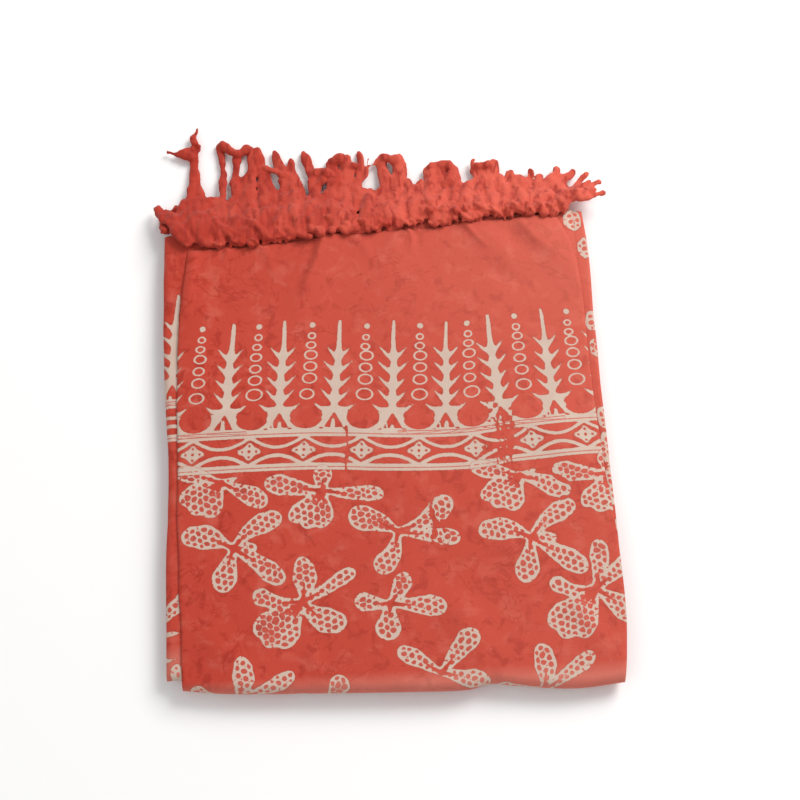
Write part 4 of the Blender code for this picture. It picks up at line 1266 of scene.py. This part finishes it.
def printed_rayon():
    """Plain-woven rayon dyed coral over a stamped resist: soft, dull and a little mottled."""
    material, tree = empty_material("printed rayon")
    flat = attribute_of(tree, "flat")["Vector"]

    def parts_of(place):
        return add(tree, "ShaderNodeSeparateXYZ", None, {0: place}).outputs

    def plus(a, b):
        return number(tree, "ADD", a, b)

    def minus(a, b):
        return number(tree, "SUBTRACT", a, b)

    def times(a, b):
        return number(tree, "MULTIPLY", a, b)

    def size_of(value):
        return number(tree, "ABSOLUTE", value)

    def least(a, b):
        return number(tree, "MINIMUM", a, b)

    def most(a, b):
        return number(tree, "MAXIMUM", a, b)

    def below(value, limit, soft):
        """1 where the value is below the limit, 0 above it, with a soft step between."""
        inputs = {"Value": value, "From Min": limit + soft, "From Max": limit - soft}
        inputs |= {"To Min": 0.0, "To Max": 1.0}
        return add(tree, "ShaderNodeMapRange", {"interpolation_type": "SMOOTHSTEP"}, inputs).outputs[0]

    def cloud(scale, detail=2.0, roughness=0.5, distortion=0.0):
        return noise_at(tree, flat, scale, detail, roughness, distortion)["Fac"]

    stamp = parts_of(attribute_of(tree, "stamp")["Vector"])
    flower = parts_of(attribute_of(tree, "flower")["Vector"])
    # Paste edges bleed by up to 0.3 mm
    bleed = times(minus(cloud(0.45, 3.0), 0.5), 0.9)
    cream_edge = plus(stamp["X"], bleed)
    ring = below(plus(size_of(stamp["Y"]), times(bleed, 0.9)), RING_LINE, 0.25)
    groove = below(plus(size_of(stamp["Z"]), times(bleed, 0.5)), 0.3, 0.2)
    cream = times(below(cream_edge, 0.0, 0.22), minus(1.0, times(groove, 0.85)))
    petal_edge = plus(flower["X"], times(bleed, 0.9))
    star = below(plus(flower["Y"], bleed), 0.0, 0.25)

    # The honeycomb of cells in the petals: 4.3 mm apart, each about 3 mm across
    off = vector(tree, "SUBTRACT", noise_at(tree, flat, 0.10, 1.5)["Color"], (0.5, 0.5, 0.5))
    cell_at = vector(tree, "ADD", flat, scaled(tree, off, 4.4))
    about = {"Vector": cell_at, "Angle": 0.4}
    turned = add(tree, "ShaderNodeVectorRotate", {"rotation_type": "Z_AXIS"}, about).outputs[0]
    lattice = (CELL_PITCH, CELL_PITCH * math.sqrt(3), 1.0)

    def lattice_distance(shift_x, shift_y):
        """How far it is to the nearest of the points that lie that share of the lattice along."""
        moved = vector(tree, "ADD", vector(tree, "DIVIDE", turned, lattice), (shift_x, shift_y, 0))
        centred = vector(tree, "SUBTRACT", vector(tree, "FRACTION", moved), (0.5, 0.5, 0))
        real = vector(tree, "MULTIPLY", centred, (lattice[0], lattice[1], 0))
        return add(tree, "ShaderNodeVectorMath", {"operation": "LENGTH"}, {0: real}).outputs["Value"]

    reach = least(lattice_distance(0, 0), lattice_distance(0.5, 0.5))
    size = plus(CELL_RADIUS - 0.45, times(cloud(0.30, 1.0), 0.9))
    size = plus(size, times(flower["Z"], 0.9))
    shrink = ranged(tree, petal_edge, -CELLS_SHRINK_FROM, -PETAL_RIM, 1.1)
    cell_distance = plus(minus(reach, size), shrink)
    speck = minus(lattice_distance(0.5, 1 / 6), times(cloud(0.35, 1.0), 0.9))
    cell_distance = least(cell_distance, plus(speck, plus(shrink, 0.1)))
    cell = below(plus(cell_distance, times(bleed, 0.35)), 0.0, 0.22)
    petal = times(below(petal_edge, 0.0, 0.22), minus(1.0, times(cell, 0.93)))
    print_share = most(most(cream, ring), times(petal, minus(1.0, star)))

    # The dye: broad clouds, small lighter ones and darker red where the paste was wiped
    small = cloud(0.075, 4.0, 0.6, 0.4)
    wiped = cloud(0.11, 3.0, 0.62, 0.6)
    dye = dyed_with(tree, cloud(0.016, 3.0, 0.55), CORAL_DEEP, CORAL_LIGHT)
    dye = dyed_with(tree, ranged(tree, small, 0.52, 0.68, 0.34), dye, CORAL_PALE)
    dye = dyed_with(tree, ranged(tree, wiped, 0.535, 0.66, 0.72), dye, CORAL_RED)
    # Thin dark curls where the dye crept along cracks in the paste
    crack = size_of(minus(cloud(0.034, 3.5, 0.6, 0.9), 0.5))
    patchy = below(minus(1.0, cloud(0.021, 2.0, 0.5)), 0.47, 0.05)
    curl = times(below(crack, CURL_HALF_WIDTH, CURL_HALF_WIDTH), times(patchy, 0.62))
    dye = dyed_with(tree, curl, dye, CORAL_RED)
    # Painted sheen: the coral is paled towards the right and the knots, where the light comes from. It
    # is also paler along the near fold
    across = parts_of(flat)
    sheen_to_right = ranged(tree, across["X"], -120.0, 125.0, 0.42)
    sheen_to_knots = ranged(tree, across["Y"], -60.0, 70.0, 1.0, 0.45)
    dye = dyed_with(tree, times(sheen_to_right, sheen_to_knots), dye, CORAL_PAINTED_SHEEN)
    dye = dyed_with(tree, ranged(tree, across["Y"], -173.0, -181.0, 0.45), dye, CORAL_FOLD)
    dye = dyed_with(tree, ranged(tree, cloud(0.9, 2.0, 0.6), 0.3, 0.7, 0.12), dye, CORAL_RED)
    for stain in STAINS:
        inputs = {0: flat, 1: (stain.x, stain.y, 0)}
        away = add(tree, "ShaderNodeVectorMath", {"operation": "DISTANCE"}, inputs).outputs["Value"]
        near = below(plus(away, times(bleed, 2.0)), stain.radius * 0.6, stain.radius * 0.8)
        dye = dyed_with(tree, times(near, 0.45), dye, STAIN_BROWN)
    colour = dyed_with(tree, print_share, dye, dyed_with(tree, small, CREAM_LIGHT, CREAM_DEEP))
    # Dye gathers in a thin darker line along the paste's edges
    petal_line, cream_line = [size_of(minus(edge, 0.15)) for edge in (petal_edge, cream_edge)]
    rim = below(least(petal_line, cream_line), 0.22, 0.2)
    colour = dyed_with(tree, times(rim, 0.42), colour, STAIN_BROWN)

    # Plain weave, drawn at 0.8 mm because the real threads are too fine to see
    bands = {"Vector": flat, "Scale": 0.39, "Distortion": 1.2, "Detail": 2.0}
    warp, weft = [
        add(tree, "ShaderNodeTexWave", {"bands_direction": way}, bands).outputs["Fac"] for way in "XY"
    ]
    relief = plus(times(plus(warp, weft), 0.35), times(cloud(0.25, 4.0, 0.6), 1.4))
    surface = soft_surface(tree, colour, 0.82, 0.22, (0.22, 0.45), (relief, 0.35, 0.00022))
    surface.inputs["Sheen Tint"].default_value = linear(SHEEN_PINK)
    return material


def folded_rayon():
    """The same rayon seen edge on in the folds: darker, dull, with thread ends."""
    material, tree = empty_material("folded rayon")
    place = add(tree, "ShaderNodeTexCoord").outputs["Object"]
    colour = dyed_with(tree, noise_at(tree, place, 40.0, 3.0)["Fac"], FOLD_DEEP, FOLD_LIGHT)
    fine = noise_at(tree, place, 900.0, 2.0)["Fac"]
    soft_surface(tree, colour, 0.86, 0.2, (0.2, 0.5), (fine, 0.3, 0.0003))
    return material


def dyed_yarn():
    """Loose rayon yarn of the fringes: matted, soft, each yarn a little lighter or darker, with painted
    light that makes the fringe lighter towards the right.
    """
    material, tree = empty_material("dyed rayon yarn")
    place = add(tree, "ShaderNodeTexCoord").outputs["Object"]
    # The tone attribute holds each yarn's own tone plus painted light that grows towards the right
    tone = number(tree, "MULTIPLY", attribute_of(tree, "tone")["Fac"], 0.8)
    share = number(tree, "ADD", tone, noise_at(tree, place, 70.0, 3.0)["Fac"])
    colour = dyed_with(tree, share, YARN_DEEP, YARN_LIGHT)
    along = vector(tree, "MULTIPLY", place, (230.0, 85.0, 190.0))
    streak = noise_at(tree, along, 1.0, 3.0, 0.5, 0.5)["Fac"]
    colour = dyed_with(tree, ranged(tree, streak, 0.50, 0.66, 0.85), colour, YARN_STREAK)
    fuzz = noise_at(tree, place, 1300.0, 3.0)["Fac"]
    soft_surface(tree, colour, 0.8, 0.25, (0.12, 0.5), (fuzz, 0.5, 0.0003))
    return material


def plain_floor():
    """A white table that the packet lies on."""
    mesh = bpy.data.meshes.new("table")
    half = TABLE_HALF_WIDTH
    corners = [(-half, -half, 0), (half, -half, 0), (half, half, 0), (-half, half, 0)]
    mesh.from_pydata(corners, [], [(0, 1, 2, 3)])
    material, tree = empty_material("white paper")
    soft_surface(tree, linear(PAPER_WHITE), 0.9, 0.1, (0.0, 0.5))
    mesh.materials.append(material)
    return placed("table", mesh)


def aimed(name, data, place, back, right):
    """A lamp or camera at that place, in metres, with its back to where it looks from."""
    rows = np.array([right, np.cross(back, right), back, place]).T.tolist()
    thing = placed(name, data)
    thing.matrix_world = Matrix(rows + [[0, 0, 0, 1]])
    return thing


def lamp(name, at, power, size, colour):
    """A soft square light that faces the packet."""
    data = bpy.data.lights.new(name, "AREA")
    data.shape = "SQUARE"
    data.size = size
    data.energy = power
    data.color = colour
    place = np.array(at, float)
    back = place / np.linalg.norm(place)
    right = np.cross((0, 0, 1), back)
    aimed(name, data, place, back, right / np.linalg.norm(right))


def photo_camera():
    """The camera where the photograph was taken from."""
    rise, turn = math.radians(CAMERA_ELEVATION), math.radians(CAMERA_TURN)
    level = math.cos(rise)
    back = np.array([math.sin(turn) * level, -math.cos(turn) * level, math.sin(rise)])
    right = np.array([math.cos(turn), math.sin(turn), 0.0])
    data = bpy.data.cameras.new("camera")
    data.lens = CAMERA_LENS
    data.sensor_width = 36.0
    place = (PACKET_AT + back * CAMERA_DISTANCE) * MM
    bpy.context.scene.camera = aimed("camera", data, place, back, right)


def surroundings():
    """An even white sky, a soft window from the far right and a weak fill from the near left."""
    world = bpy.data.worlds.new("studio")
    bpy.context.scene.world = world
    world.use_nodes = True
    tree = world.node_tree
    tree.nodes.clear()
    sky = add(tree, "ShaderNodeBackground", None, {"Color": (1, 1, 1, 1), "Strength": WORLD_LIGHT})
    add(tree, "ShaderNodeOutputWorld", None, {"Surface": sky.outputs[0]})
    lamp("window", (1.15, 1.0, 1.35), 36.0, 1.1, (1.0, 0.98, 0.96))
    lamp("fill", (-1.0, -0.9, 1.7), 6.0, 1.6, (0.98, 0.99, 1.0))
    bpy.context.scene.view_settings.view_transform = "Standard"


rayon, edges, yarn = printed_rayon(), folded_rayon(), dyed_yarn()
yarns = yarn_tree(yarn)

top = top_leaf_cloth()
second = second_leaf_cloth()
right = right_leaf_cloth()
layers = folded_edges()
upper = upper_fringe(yarns, yarn)
lower = lower_fringe(yarns, yarn)

for piece in (top, second, right):
    piece.data.materials.append(rayon)
layers.data.materials.append(edges)

for piece, node, finish in (
    (top, "top_leaf", "printed_rayon"),
    (second, "second_leaf", "printed_rayon"),
    (right, "right_leaf", "printed_rayon"),
    (layers, "hidden_layers", "folded_rayon"),
    (upper, "fringe_upper", "knotted_yarn"),
    (lower, "fringe_lower", "knotted_yarn"),
):
    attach(piece, "root")
    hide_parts(node)

plain_floor()
surroundings()
photo_camera()
